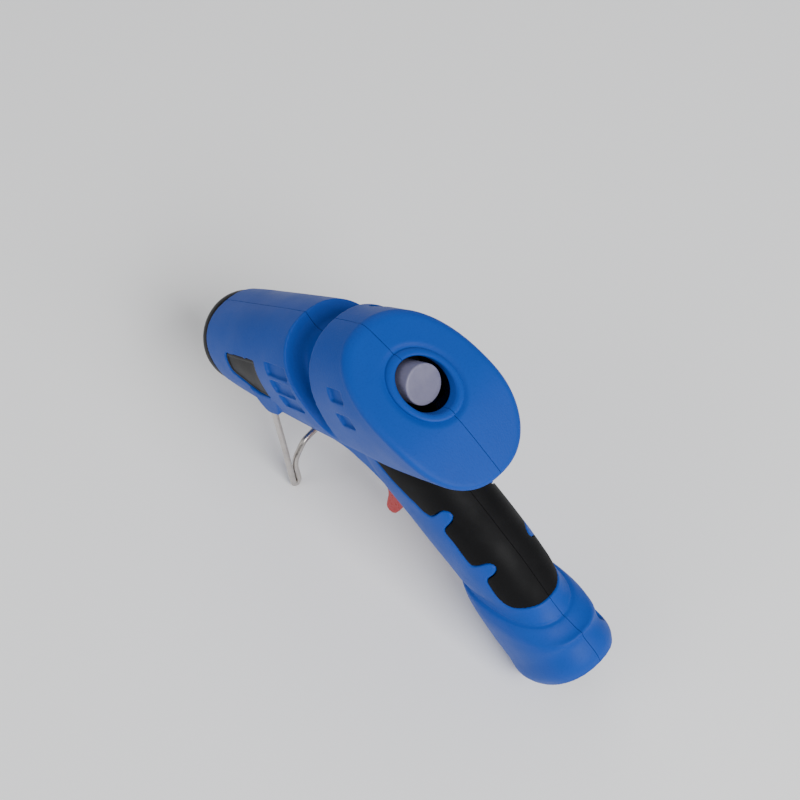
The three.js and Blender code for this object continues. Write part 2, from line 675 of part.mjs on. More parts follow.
function housing(side) {
  const inserts = join(
    ...SCREWS.map((place) => screwPost(place, side)),
    sidedPin(TRIGGER_PIVOT, PIVOT_POST, side, TRIGGER_HALF_WIDTH + TRIGGER_CLEARANCE, FAR),
    sidedPin(LEVER_PIVOT, PIVOT_POST, side, LEVER.postY, FAR),
    chamberRib(RIB.rearX, CHAMBER.radius + GAP),
    chamberRib(RIB.frontX, CHAMBER.neck + GAP),
  );
  const gripLayer = handle(-GAP).subtract(handle(GRIP_DEPTH + GAP)).intersect(gripRegion(GAP));
  const shell = cut(
    outerForm.subtract(innerForm).add(inserts.intersect(outerForm)).add(standBoss(side)),
    gripLayer.subtract(outerBarrel),
    portBore(),
    ventPockets(),
    badgeRecess(side),
    triggerSlot(),
    leverSlot(),
    ratingRecess(),
    standBore(side),
    standSlot(side),
    glandHole(),
    crossPin(TRIGGER_PIVOT.x, TRIGGER_PIVOT.z, PIN_HOLE_RADIUS, -TRIGGER_PIN_HALF - GAP, TRIGGER_PIN_HALF + GAP),
    crossPin(LEVER_PIVOT.x, LEVER_PIVOT.z, PIN_HOLE_RADIUS, -LEVER.pinHalf - GAP, LEVER.pinHalf + GAP),
    ...SCREWS.map((place) => screwHole(place, side)),
  );
  return largest(shell.intersect(halfSpace(side)));
}

function grip(side) {
  const layer = outerHandle.subtract(handle(GRIP_DEPTH)).intersect(gripRegion(0));
  return largest(layer.subtract(barrel(-GAP)).intersect(halfSpace(side)));
}

function badge(side) {
  return sidedPlate(outline(BADGE.outline), side, BADGE.y, FAR).intersect(barrel(BADGE.sunk));
}

// ---------------------------------------------------------------- nose, heater and nozzle

function noseCollar() {
  return turned(NOSE_COLLAR, TURNED_SEGMENTS);
}

function heatingChamber() {
  const { rear, shoulder, front, radius, bore, neck, threadBore, heaterBox, heaterSlot } = CHAMBER;
  const casting = turned([
    [rear, bore], [rear, radius], [shoulder, radius], [shoulder + 5, neck], [front, neck], [front, neck - 1],
    [front + 3, neck - 1], [front + 3, threadBore], [front - 6, threadBore], [shoulder + 3, bore],
  ]);
  const stickRoom = turned([[rear, 0], [rear, bore + 2], [shoulder + 2, bore + 2], [shoulder + 2, 0]]);
  return casting.add(cut(block(...heaterBox), block(...heaterSlot), stickRoom));
}

function heaterClip() {
  return block(...HEATER_CLIP.outside).subtract(block(...HEATER_CLIP.inside));
}

function nozzle() {
  return turned(NOZZLE);
}

function nozzleJacket() {
  return turned(NOZZLE_JACKET);
}

function inletSleeve() {
  const { bore, rear, step, lip, radius, lipRadius } = INLET_SLEEVE;
  return turned([[rear, bore], [rear, radius], [step, radius], [step, lipRadius], [lip, lipRadius], [lip, bore]]);
}

function glueStick() {
  const { rear, front, chamfer } = STICK;
  const end = [[rear, 0], [rear, STICK_RADIUS - chamfer], [rear + chamfer, STICK_RADIUS]];
  return turned([...end, [front, STICK_RADIUS], [front, 0]], TURNED_SEGMENTS);
}

// ---------------------------------------------------------------- feed mechanism

function feedCarriage() {
  const { rear, front, bore, radius, trunnionRadius, trunnionHalf } = CARRIAGE;
  const sleeve = turned([[rear, bore], [rear, radius], [front, radius], [front, bore]]);
  const stickRoom = turned([[rear, 0], [rear, bore], [front, bore], [front, 0]]);
  return sleeve.add(crossPin(TRUNNION_X, 0, trunnionRadius, -trunnionHalf, trunnionHalf).subtract(stickRoom));
}

function clampJaw() {
  const { rear, front, bore, radius } = JAW;
  return turned([[rear, bore], [rear, radius], [front, radius], [front, bore]]);
}

// One prong of the lever, drawn along the line from its pivot to the carriage's trunnion.
function leverProng(side) {
  const { prongHalf, forkHalf, forkBottom, prongTop, prongInner, prongOuter } = LEVER;
  const lean = Math.atan2(TRUNNION_X - LEVER_PIVOT.x, -LEVER_PIVOT.z);
  const shape = outline([
    [-prongHalf, prongHalf], [prongHalf, prongHalf], [prongHalf, prongTop], [forkHalf, prongTop],
    [forkHalf, forkBottom], [-forkHalf, forkBottom], [-forkHalf, prongTop], [-prongHalf, prongTop],
  ].map(([across, up]) => [
    LEVER_PIVOT.x + across * Math.cos(lean) + up * Math.sin(lean),
    LEVER_PIVOT.z - across * Math.sin(lean) + up * Math.cos(lean),
  ]));
  return sidedPlate(shape, side, prongInner, prongOuter);
}

function feedLever() {
  const { x, z } = LEVER_PIVOT;
  const { hub, hubHalf, neckHalf, neckHalfWidth, webTop, webBottom, webRear, webFront, prongOuter } = LEVER;
  const neck = block(x - neckHalf, x + neckHalf, -neckHalfWidth, neckHalfWidth, z, z + webTop);
  const web = block(x - webRear, x + webFront, -prongOuter, prongOuter, z + webBottom, z + webTop);
  const tail = plate(outline(LEVER.tail), -LEVER.tailHalfWidth, LEVER.tailHalfWidth);
  const lever = join(crossPin(x, z, hub, -hubHalf, hubHalf, ROUND), neck, web, tail, leverProng(1), leverProng(-1));
  return lever.subtract(crossPin(x, z, PIN_HOLE_RADIUS, -LEVER.pinHalf, LEVER.pinHalf));
}

// Trigger in side view: a hollowed front for the finger and a lip at the bottom.
function triggerShape() {
  const { top, fingerHollow, toe, back } = TRIGGER;
  const shape = new THREE.Shape(top.map(([x, z]) => new THREE.Vector2(x, z)));
  shape.quadraticCurveTo(...fingerHollow.flat());
  toe.forEach((corner) => shape.quadraticCurveTo(...corner.flat()));
  back.forEach((corner) => shape.lineTo(...corner));
  shape.closePath();
  return shape;
}

function trigger() {
  const { x, z } = TRIGGER_PIVOT;
  const blade = plate(triggerShape(), -TRIGGER_HALF_WIDTH, TRIGGER_HALF_WIDTH);
  const hub = crossPin(x, z, TRIGGER.hub, -TRIGGER_HALF_WIDTH, TRIGGER_HALF_WIDTH, ROUND);
  return blade.add(hub).subtract(crossPin(x, z, PIN_HOLE_RADIUS, -TRIGGER_PIN_HALF, TRIGGER_PIN_HALF));
}

// Compression spring between the back of the lever's tail and the back of the handle.
class SpringCurve extends THREE.Curve {
  getPoint(share, target = new THREE.Vector3()) {
    const turn = share * SPRING.turns * 2 * Math.PI;
    const side = SPRING.radius * Math.cos(turn);
    const along = share * SPRING.length;
    return target.set(
      SPRING.x - along * Math.cos(SPRING.dip) - side * Math.sin(SPRING.dip),
      SPRING.radius * Math.sin(turn),
      SPRING.z - along * Math.sin(SPRING.dip) + side * Math.cos(SPRING.dip),
    );
  }
}

function returnSpring() {
  return bar(new SpringCurve(), SPRING.wireRadius, SPRING.stepsPerTurn * SPRING.turns, SPRING.sides);
}

// ---------------------------------------------------------------- stand, leads and fastenings

function wireStand() {
  const left = standHalf(1);
  const right = standHalf(-1).reverse();
  const curve = new THREE.CatmullRomCurve3([...left, ...right], false, 'centripetal');
  return bar(curve, STAND.wireRadius, STAND.steps, STAND.sides);
}

function screw({ x, z }) {
  const { shank, head, headHeight, seatY, tipY, slotHalf, slotDepth, slotReach } = SCREW;
  const cap = crossPin(x, z, head, -seatY - headHeight, -seatY);
  const body = cap.add(crossPin(x, z, shank, -seatY - SLIVER, tipY));
  const slotFloor = slotDepth - seatY - headHeight;
  return body.subtract(block(x - slotHalf, x + slotHalf, -FAR, slotFloor, z - slotReach, z + slotReach));
}

function heaterLead(side) {
  const { route, insideBlock, blockY, freeY, radius, steps, sides } = LEAD;
  const points = route.map(([x, z], i) => new THREE.Vector3(x, side * (i < insideBlock ? blockY : freeY), z));
  return bar(new THREE.CatmullRomCurve3(points, false, 'centripetal'), radius, steps, sides);
}

function terminalBlock() {
  const { x, z, depth, width, height, rake } = TERMINAL_BLOCK;
  const body = new THREE.BoxGeometry(depth, width, height);
  return solid(body.rotateY(THREE.MathUtils.degToRad(rake)).translate(x, 0, z));
}

function cordGland() {
  const profile = [...GLAND.profile, GLAND.profile[0]].map(([up, radius]) => new THREE.Vector2(radius, up));
  const shape = new THREE.LatheGeometry(profile, ROUND).rotateX(Math.PI / 2);
  return solid(shape.rotateY(THREE.MathUtils.degToRad(BASE.rake)).translate(BASE.x, 0, BASE.z));
}

// ---------------------------------------------------------------- assembly

const gun = new THREE.Group();

function addPart(name, manifold, material) {
  const mesh = new THREE.Mesh(geometryOf(manifold), material);
  mesh.name = name;
  gun.add(mesh);
}

function pivotPin({ x, z }, halfLength) {
  return crossPin(x, z, PIN_RADIUS, -halfLength, halfLength);
}

addPart('housing_left', housing(1), MATERIALS.blue);
addPart('housing_right', housing(-1), MATERIALS.blue);
addPart('grip_left', grip(1), MATERIALS.grip);
addPart('grip_right', grip(-1), MATERIALS.grip);
addPart('badge_left', badge(1), MATERIALS.black);
addPart('badge_right', badge(-1), MATERIALS.black);
addPart('rating_plate', ratingPlate(), MATERIALS.label);
addPart('nose_collar', noseCollar(), MATERIALS.black);
addPart('heating_chamber', heatingChamber(), MATERIALS.aluminium);
addPart('heater_element', block(...HEATER), MATERIALS.ceramic);
addPart('heater_clip', heaterClip(), MATERIALS.steel);
addPart('nozzle', nozzle(), MATERIALS.brass);
addPart('nozzle_jacket', nozzleJacket(), MATERIALS.silicone);
addPart('inlet_sleeve', inletSleeve(), MATERIALS.silicone);
addPart('glue_stick', glueStick(), MATERIALS.glue);
addPart('feed_carriage', feedCarriage(), MATERIALS.black);
addPart('clamp_jaw', clampJaw(), MATERIALS.steel);
addPart('feed_lever', feedLever(), MATERIALS.black);
addPart('lever_pin', pivotPin(LEVER_PIVOT, LEVER.pinHalf - GAP), MATERIALS.steel);
addPart('return_spring', returnSpring(), MATERIALS.steel);
addPart('trigger', trigger(), MATERIALS.red);
addPart('trigger_pin', pivotPin(TRIGGER_PIVOT, TRIGGER_PIN_HALF), MATERIALS.steel);
addPart('wire_stand', wireStand(), MATERIALS.steel);
addPart('terminal_block', terminalBlock(), MATERIALS.ceramic);
addPart('heater_lead_left', heaterLead(1), MATERIALS.wire);
addPart('heater_lead_right', heaterLead(-1), MATERIALS.wire);
addPart('cord_gland', cordGland(), MATERIALS.black);
SCREWS.forEach((place, i) => addPart(`housing_screw_${i + 1}`, screw(place), MATERIALS.steel));

// Pitch the gun nose down and stand it on the bench, with the middle of its box over the origin.
gun.rotation.y = PITCH;
const standing = new THREE.Group();
standing.add(gun);
const extent = new THREE.Box3().setFromObject(standing, true);
const centre = extent.getCenter(new THREE.Vector3());
gun.position.set(-centre.x, 0, -extent.min.z);

export default standing;
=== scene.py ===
"""Looks for a hot-melt glue gun that stands on its wire stand, nose down.

Shapes are first made in the gun's own frame, in millimetres: X runs forward along the glue stick, Y is
the gun's left side, Z is up from the stick, and the origin is where the stick's axis meets the rear face.
Each finished piece is then turned and scaled into the row frame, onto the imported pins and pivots.
"""

import json
import math

import bmesh
import bpy
import numpy as np
from mathutils import Matrix, Vector


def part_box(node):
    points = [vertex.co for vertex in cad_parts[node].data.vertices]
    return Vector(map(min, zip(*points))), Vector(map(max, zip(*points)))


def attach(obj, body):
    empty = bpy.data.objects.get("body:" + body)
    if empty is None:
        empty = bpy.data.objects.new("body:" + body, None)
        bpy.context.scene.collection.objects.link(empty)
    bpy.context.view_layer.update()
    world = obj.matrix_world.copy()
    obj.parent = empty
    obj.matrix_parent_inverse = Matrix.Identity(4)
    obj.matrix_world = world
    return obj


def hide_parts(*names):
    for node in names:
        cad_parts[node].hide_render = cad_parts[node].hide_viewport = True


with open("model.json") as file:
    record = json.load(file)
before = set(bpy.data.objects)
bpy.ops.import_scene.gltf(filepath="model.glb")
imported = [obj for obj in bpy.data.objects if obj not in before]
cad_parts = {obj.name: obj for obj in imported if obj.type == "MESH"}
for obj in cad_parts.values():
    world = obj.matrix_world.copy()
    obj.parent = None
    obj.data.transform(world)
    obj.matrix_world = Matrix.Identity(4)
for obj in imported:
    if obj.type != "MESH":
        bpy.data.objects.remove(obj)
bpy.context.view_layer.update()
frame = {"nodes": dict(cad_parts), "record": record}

# -------- sizes, in millimetres

MM = 0.001
PITCH = math.radians(37.7)
GAP = 0.3
WALL = 2.2
HANDLE_WALL = 3.3

# A length beyond the whole gun, and half the width of the parting line.
FAR = 200.0
SEAM = 0.07

# How finely forms are made: points round a section, and rings along each stretch.
TURNS = 144
FACE_RINGS = 24
FILLET_RINGS = 9
REAR_RINGS = 18
WAIST_RINGS = 40
FRONT_RINGS = 30
HANDLE_RINGS = 90
CROWN_RINGS = 8

# Grain of the remeshed mouldings, and how many times each is smoothed.
VOXEL = 0.33
FINE_VOXEL = 0.25
SHELL_PASSES = 3
GRIP_PASSES = 3
BADGE_PASSES = 2
TRIGGER_PASSES = 7

# Edges sharper than this, in degrees, stay sharp.
SHARP_EDGE = 50

STICK_RADIUS = 5.6
STICK_FRONT = 62.0

# End of the stick: x and radius, from the middle of its slightly hollow face to its rounded edge.
STICK_END = [
    (0.58, 0.0), (0.57, 2.2), (0.5, 4.4),
    (0.48, STICK_RADIUS - 0.3), (0.54, STICK_RADIUS - 0.12), (0.72, STICK_RADIUS - 0.02), (1.2, STICK_RADIUS),
]
STICK_RINGS = (20, 40, STICK_FRONT)

# Rear face of the barrel: steeper above a bend than below it.
UPPER_LEAN = math.tan(math.radians(39.7))
LOWER_LEAN = math.tan(math.radians(20.5))
FACE_BEND_Z = -9.2
FACE_BEND_SOFTNESS = 2.5
FACE_FILLET = 1.9

# The face's rings lie between these shares of the way from its middle to its edge.
FACE_SPAN = (0.02, 0.96)

# Front end of the barrel, and how far a cutter made from the barrel runs on past it.
NOSE_X = 93.0
NOSE_OVERRUN = 2.0

# Barrel sections: where, half width, top, bottom, height of the widest place.
BARREL = [
    (0, 18.5, 17.4, -27.6, -4.0),
    (14, 18.2, 17.4, -27.6, -3.6),
    (28, 17.4, 17.3, -26.6, -3.0),
    (44, 16.7, 17.1, -25.0, -2.2),
    (60, 16.0, 16.3, -22.6, -1.5),
    (75, 15.3, 15.4, -19.8, -0.8),
    (88, 14.6, 14.6, -16.2, -0.2),
    (NOSE_X, 14.2, 14.2, -14.4, 0.0),
]
SECTION_POWER = 2.3

# Waist groove over the top and down both sides, which narrows to a tip.
WAIST_REAR_X = 28.8
WAIST_FRONT_X = 43.9
WAIST_TIP_X = 33.5
WAIST_TOP_Z = 17.2
WAIST_TIP_Z = -14.4
WAIST_TIP_WIDTH = 2.0
WAIST_DEPTH = 6.4

# How its rear and front edges curve, how flat its floor is and how soon it runs out to the tip.
WAIST_REAR_CURVE = 0.4
WAIST_FRONT_CURVE = 0.8
WAIST_FLATNESS = 5
WAIST_RUN_OUT = 2.4

# Handle sections, from inside the barrel down: centre, rake in degrees, half depth, half width.
HANDLE = [
    (31.5, -18.0, 28, 12.5, 10.8),
    (27.2, -32.0, 24, 15.4, 11.3),
    (23.2, -43.0, 22, 15.3, 11.2),
    (19.2, -53.0, 21, 15.1, 11.4),
    (15.0, -64.0, 19, 14.7, 11.4),
    (13.3, -70.0, -3.4, 15.3, 11.3),
    (11.5, -76.0, -21.2, 17.8, 11.2),
    (11.3, -76.9, -21.2, 18.6, 11.9),
    (10.6, -79.4, -20, 19.6, 12.7),
    (9.0, -87.0, -3, 19.2, 13.1),
    (7.4, -95.0, 16, 18.0, 13.0),
    (5.4, -102.0, 16, 18.0, 13.0),
    (4.8, -104.0, 16, 17.0, 12.0),
]
BASE_X, BASE_Z, BASE_RAKE = HANDLE[-1][:3]

# The hollow inside leaves out the rows of the base's bottom, and its last ring moves by this much.
BASE_ROWS = 2
HOLLOW_END = (-1.6, 0, -5.6)

# Groove round the handle where its base begins: a point on it, rake in degrees, width, depth.
CREASE = (11.5, -76.2, -21.2, 0.8, 0.55)

# Underside between the barrel and the handle, from the front down, and two corners inside them.
THROAT = [
    (52.4, -21.6), (50.4, -22.5), (47, -23.7), (43.8, -25.2),
    (41.6, -27.3), (39.2, -29.4), (36.9, -31.8), (34.6, -34.6),
]
THROAT_INSIDE = [(28, -34), (28, -17), (52.4, -17)]
THROAT_HALF_WIDTH = 10.4

# Plate let into the underside: first and last corner, thickness, how far sunk, from and to in Y.
RATING_PLATE = (2, 7, 0.4, 0.05, 6.9, 9.8)

# Opening for the stick, and the raised ring round it with a groove outside.
PORT_RIM = (9.3, 8.7)
PORT_BORE = (7.25, 6.8)
RIM_PROUD = 0.95
RIM_GROOVE = 0.45

# Rings of the groove and of the opening's mouth: how far ahead of the face, how much larger.
GROOVE_RINGS = [(-2.0, 1.6), (-0.02, 1.5), (0.16, 1.0), (0.36, 0.6), (RIM_GROOVE, 0.2), (RIM_GROOVE, -1.0)]
MOUTH_RINGS = [(-3.0, 1.1), (-1.1, 0.75), (-0.9, 0.42), (-0.7, 0.2), (-0.4, 0.05), (0.0, 0.0), (3.0, 0.0)]
PORT_END_X = 11.5

# Soft grip let into the sides and back of the handle, with a notch where each blue tab reaches in.
GRIP_DEPTH = 1.5
GRIP_CORNER = 1.0
GRIP_FRONT = [
    (30.4, -20.0), (28.5, -24.7), (25.2, -31.3), (21.1, -37.4), (18.6, -41.4), (16.8, -42.6), (15.1, -42.2),
    (13.0, -40.9), (11.6, -41.1), (10.2, -42.4), (10.1, -44.0), (11.5, -45.3), (13.5, -46.7), (13.8, -48.1),
    (12.1, -51.9), (10.8, -56.0), (9.6, -59.4), (7.0, -59.2), (5.0, -58.9), (3.4, -60.0), (3.1, -61.5),
    (4.0, -62.8), (6.5, -64.1), (6.5, -66.6), (5.9, -69.9), (4.5, -73.4), (2.8, -74.8), (-0.9, -75.9),
]
GRIP_BACK = [(-4.0, -76.9), (-12.0, -78.5), (-20.0, -60.0), (-14.0, -40.0), (-4.0, -20.0)]

TRIGGER_PIVOT = (42.0, -18.5)
TRIGGER_HALF_WIDTH = 5.6
TRIGGER_ROOM = TRIGGER_HALF_WIDTH + 0.5
LEVER_PIVOT = (19.0, -18.0)
LEVER_ROOM = 7.4

# Trigger: straight top, hollow for the finger, lip at the toe and the back inside the handle.
TRIGGER_HUB = 3.9
TRIGGER_HOLE = 1.75
TRIGGER_TOP = [(38.4, -18.0), (45.6, -18.0), (49.4, -27.0)]
TRIGGER_HOLLOW = [(40.0, -41.5), (49.6, -49.6)]
TRIGGER_TOE = [
    (51.3, -51.4), (53.0, -53.2), (53.8, -54.6), (53.7, -55.9), (52.4, -56.7), (50.6, -56.4), (47.2, -54.4),
]
TRIGGER_BACK = [(41.6, -50.7), (36.0, -53.4), (32.4, -54.6), (29.5, -50.0), (28.5, -36.0), (36.0, -27.0)]
TRIGGER_SLOT = [(36, -15), (51, -15), (51.5, -28), (62, -57.6), (26, -57.6), (24, -34), (34, -24)]
LEVER_SLOT = ((14.6, -3.6, -30), (20, 3.6, -22))

# Wire stand: pivot, half width, leg, lean and fold in degrees, drop of the arch, wire radius.
STAND_PIVOT = (68.25, -10.2)
STAND_HALF_WIDTH = 13.8
STAND_LEG = 45.9
STAND_LEAN = math.radians(31.3)
STAND_FOLD = math.radians(44)
STAND_SLOT_SPARE = math.radians(4)
STAND_ARCH = 28.1
STAND_END = 5.3
STAND_BOSS = 3.4
WIRE_RADIUS = 1.0
STAND_ROOM = WIRE_RADIUS + GAP
STAND_END_Y = STAND_HALF_WIDTH - STAND_END - GAP

# Half of the bent wire, from its end in the flank to the middle of the arch: how far down, how far in.
STAND_WIRE = [
    (0, STAND_END), (0, 2.4), (0.5, 0.4), (2.4, 0),
    (STAND_LEG * 0.5, 0), (STAND_LEG - 3.4, 0), (STAND_LEG - 0.9, 0.15), (STAND_LEG, 1.1),
    (STAND_LEG - 0.9, 2.05), (STAND_LEG - 3.4, 2.2), (STAND_ARCH + 9, 2.25), (STAND_ARCH + 5.7, 3.1),
    (STAND_ARCH + 3.2, 5), (STAND_ARCH + 0.9, 7.4), (STAND_ARCH + 0.2, 10), (STAND_ARCH, 12.4),
]
WIRE_STEP = 0.5

# Domed end of a bar: how far each ring stands out and how wide it is, as shares of the bar's radius.
BAR_END = [(0.27, 0.92), (0.48, 0.62)]

# Fuller stretch of the barrel's flanks over the stand's pivots.
CHEEK = [(60.5, -3), (61, -8.5), (64, -12.6), (70.4, -12.6), (72.2, -9.5), (73, -3)]
CHEEK_HALF_WIDTH = 15.7
CHEEK_CORNER = 1.5

SCREWS = [(24, 12.3), (-3.5, -20.3), (56, -17.6), (85, -12.4), (15.8, -48), (-3.4, -92.5), (18.6, -96)]
SCREW_HEAD_RADIUS = 2.6
SCREW_HEAD_HEIGHT = 1.8
SCREW_SEAT_Y = -4.5
SCREW_SHANK_RADIUS = 1.15
SCREW_TIP_Y = 6.8
COUNTERBORE_RADIUS = 3.0

# Pan head: how far below its top and radius. Then its edge, its point and the cross in it.
SCREW_CROWN = [(0, 0), (0.05, 1.2), (0.3, 2.0), (0.8, 2.45), (1.3, SCREW_HEAD_RADIUS)]
SCREW_EDGE = 0.1
SCREW_POINT = 1.0
SCREW_POINT_RADIUS = 0.3
CROSS_HALF_WIDTH = 0.32
CROSS_HALF_LENGTH = 1.55
CROSS_DEPTH = 1.0

# Posts inside: for the screws on each side, and for the trigger's and lever's pins.
LEFT_POST_RADIUS = 2.9
RIGHT_POST_RADIUS = 3.8
PIVOT_POST_RADIUS = 3.2

# Posts and ribs are made this far out, and then trimmed to the outside.
INSIDE_REACH = 30

# Ribs that hold the heating chamber: where, and the chamber's radius there. Then the notch for the heater.
CHAMBER_RIBS = [(57, 9.5), (88, 7)]
RIB_THICKNESS = 1.8
NOTCH_HALF_WIDTH = 10.6
NOTCH_HEIGHTS = (-18.5, -6)

# Turned pieces round the stick's axis, as outlines of x and radius.
NOSE_RING = [
    (NOSE_X + GAP, 11.6), (NOSE_X + GAP, 14.05), (94.6, 14.2), (95.8, 14.15), (96.8, 13.85), (97.7, 13.2),
    (98.3, 12.1), (98.7, 10.9), (98.9, 9.6), (98.9, 7.7), (98.6, 7.4), (96.6, 7.4), (96.6, 10.4),
    (95.2, 11.6),
]
NOZZLE = [
    (93.4, 1.3), (93.4, 5.2), (100, 5.2), (100, 4.6), (101.2, 4.35), (104.5, 3.2), (108.5, 2.1),
    (110.8, 1.8), (111.5, 1.5), (111.5, 0.8), (105, 0.9),
]
NOZZLE_JACKET = [
    (95, 5.5), (95, 6.9), (96.2, 6.9), (96.6, 6.6), (97.0, 6.6), (97.4, 6.9), (100.5, 6.9),
    (101.5, 6.4), (104.5, 5.15), (107.5, 3.9), (107.5, 2.8), (100.3, 5.0), (100.3, 5.5),
]

# Bush for the cord: its outline of depth and radius, the hole for it and its place in the base.
GLAND = [
    (-3.2, 3.2), (-3.4, 3.5), (-3.4, 5.5), (-3.1, 5.9), (-0.4, 6), (-0.4, 4.1), (4.6, 4.1), (4.6, 5.8),
    (6.2, 5.8), (6.2, 3.2),
]
GLAND_HOLE_RADIUS = 4.4
GLAND_HOLE_LENGTH = 20.0
GLAND_PLACE = (BASE_X - 0.1, 0, BASE_Z - 0.2)

# Blank black plate let into each flank: outline, its inner face, how far sunk, its border and field.
BADGE = [(62.0, 7.3), (79.8, 6.6), (80.7, 5.2), (80.5, 0.4), (68.3, -5.2), (62.2, -5.4)]
BADGE_Y = 13.2
BADGE_SUNK = 0.35
BADGE_BORDER = 0.8
BADGE_FIELD = 0.25
BADGE_CORNER = 0.7

# Vent pockets in each flank: x, z, length, height.
VENTS = [
    (43.2, 4.7, 11.6, 3.6),
    (42.6, -0.9, 11.6, 4.2),
    (42.4, -5.9, 11.2, 4.0),
    (13.2, 4.1, 6.6, 3.6),
    (12.4, -3.5, 6.6, 4.0),
]
VENT_LEAN = -0.6
VENT_DEPTH = 1.0
VENT_CORNER = 0.5

# -------- the gun's place in the row frame


def middle(node):
    low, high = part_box(node)
    return (low + high) / 2


TURN = Matrix.Rotation(PITCH, 4, "Y")
PIN_IN_GUN = Vector((TRIGGER_PIVOT[0], 0, TRIGGER_PIVOT[1])) * MM
ORIGIN = middle("trigger_pin") - TURN @ PIN_IN_GUN
GUN_TO_ROW = Matrix.Translation(ORIGIN) @ TURN @ Matrix.Scale(MM, 4)

# -------- meshes

SAME_PLACE = 1e-5

# A corner's curve starts a little short of half way along its edges.
CORNER_SHARE = 1 / 2.01


def linked(name, data):
    obj = bpy.data.objects.new(name, data)
    bpy.context.scene.collection.objects.link(obj)
    return obj


def mesh_object(name, points, faces):
    mesh = bpy.data.meshes.new(name)
    mesh.from_pydata([tuple(point) for point in points], [], faces)
    mesh.validate()
    return linked(name, mesh)


def face_outwards(obj):
    work = bmesh.new()
    work.from_mesh(obj.data)
    bmesh.ops.recalc_face_normals(work, faces=work.faces)
    work.to_mesh(obj.data)
    work.free()
    return obj


def loft(name, rings):
    """A closed skin through rings of equally many points, with a fan over each end."""
    count = len(rings[0])
    points = [point for ring in rings for point in ring]
    faces = []
    for r in range(len(rings) - 1):
        for i in range(count):
            a = r * count + i
            b = r * count + (i + 1) % count
            faces.append((a, b, b + count, a + count))
    for first in (0, (len(rings) - 1) * count):
        centre = len(points)
        points.append(np.mean(points[first:first + count], axis=0))
        faces += [(centre, first + i, first + (i + 1) % count) for i in range(count)]
    return face_outwards(mesh_object(name, points, faces))


def turned(name, profile, segments=96):
    """Solid of revolution about the line through (0, 0) along +X, from [x, radius] pairs.

    A profile that starts and ends on the axis is closed there; any other closes on itself."""
    on_axis = profile[0][1] == 0 and profile[-1][1] == 0
    work = bmesh.new()
    rows = []
    for i in range(segments):
        turn = 2 * math.pi * i / segments
        rows.append([work.verts.new((x, r * math.cos(turn), r * math.sin(turn))) for x, r in profile])
    last = len(profile) - (1 if on_axis else 0)
    for i in range(segments):
        here, there = rows[i], rows[(i + 1) % segments]
        for k in range(last):
            n = (k + 1) % len(profile)
            work.faces.new((here[k], here[n], there[n], there[k]))
    bmesh.ops.remove_doubles(work, verts=work.verts, dist=SAME_PLACE)
    bmesh.ops.recalc_face_normals(work, faces=work.faces)
    mesh = bpy.data.meshes.new(name)
    work.to_mesh(mesh)
    work.free()
    return linked(name, mesh)


def rounded_corners(points, radius, steps=5):
    """A closed outline with each corner replaced by an arc-like curve that starts radius before it."""
    result = []
    count = len(points)
    for i in range(count):
        before, corner, after = (np.array(points[(i + k) % count], float) for k in (-1, 0, 1))
        into, out = before - corner, after - corner
        reach_in = min(radius, np.linalg.norm(into) * CORNER_SHARE)
        reach_out = min(radius, np.linalg.norm(out) * CORNER_SHARE)
        start = corner + into / np.linalg.norm(into) * reach_in
        end = corner + out / np.linalg.norm(out) * reach_out
        for k in range(steps + 1):
            t = k / steps
            result.append(tuple((1 - t) ** 2 * start + 2 * t * (1 - t) * corner + t * t * end))
    return result


def plate(name, outline, from_y, to_y):
    """Flat outline in the gun's X-Z plane, given a thickness from one y to another."""
    count = len(outline)
    points = [(x, from_y, z) for x, z in outline] + [(x, to_y, z) for x, z in outline]
    faces = [tuple(range(count)), tuple(range(2 * count - 1, count - 1, -1))]
    faces += [(i, i + count, (i + 1) % count + count, (i + 1) % count) for i in range(count)]
    obj = mesh_object(name, points, faces)
    work = bmesh.new()
    work.from_mesh(obj.data)
    bmesh.ops.triangulate(work, faces=[f for f in work.faces if len(f.verts) > 4])
    bmesh.ops.recalc_face_normals(work, faces=work.faces)
    work.to_mesh(obj.data)
    work.free()
    return obj


def block(name, low, high):
    (x0, y0, z0), (x1, y1, z1) = low, high
    return plate(name, [(x0, z0), (x1, z0), (x1, z1), (x0, z1)], y0, y1)


def cross_pin(name, place, radius, from_y, to_y, segments=40):
    """Cylinder across the gun, along Y."""
    x, z = place
    turns = [2 * math.pi * i / segments for i in range(segments)]
    outline = [(x + radius * math.cos(turn), z + radius * math.sin(turn)) for turn in turns]
    return plate(name, outline, from_y, to_y)


def evaluated(obj):
    """Applies the object's modifiers to its mesh."""
    shown = obj.evaluated_get(bpy.context.evaluated_depsgraph_get())
    mesh = bpy.data.meshes.new_from_object(shown)
    obj.modifiers.clear()
    old = obj.data
    obj.data = mesh
    bpy.data.meshes.remove(old)
    return obj


def combined(obj, operation, tools):
    """obj joined with, cut by or kept inside each tool; the tools are used up."""
    for tool in tools:
        step = obj.modifiers.new(operation, "BOOLEAN")
        step.operation = operation
        step.solver = "MANIFOLD"
        step.object = tool
    evaluated(obj)
    for tool in tools:
        bpy.data.objects.remove(tool)
    return obj


def joined(obj, *tools):
    return combined(obj, "UNION", tools)


def cut(obj, *tools):
    return combined(obj, "DIFFERENCE", tools)


def kept(obj, *tools):
    return combined(obj, "INTERSECT", tools)


def copied(obj):
    twin = obj.copy()
    twin.data = obj.data.copy()
    bpy.context.scene.collection.objects.link(twin)
    return twin


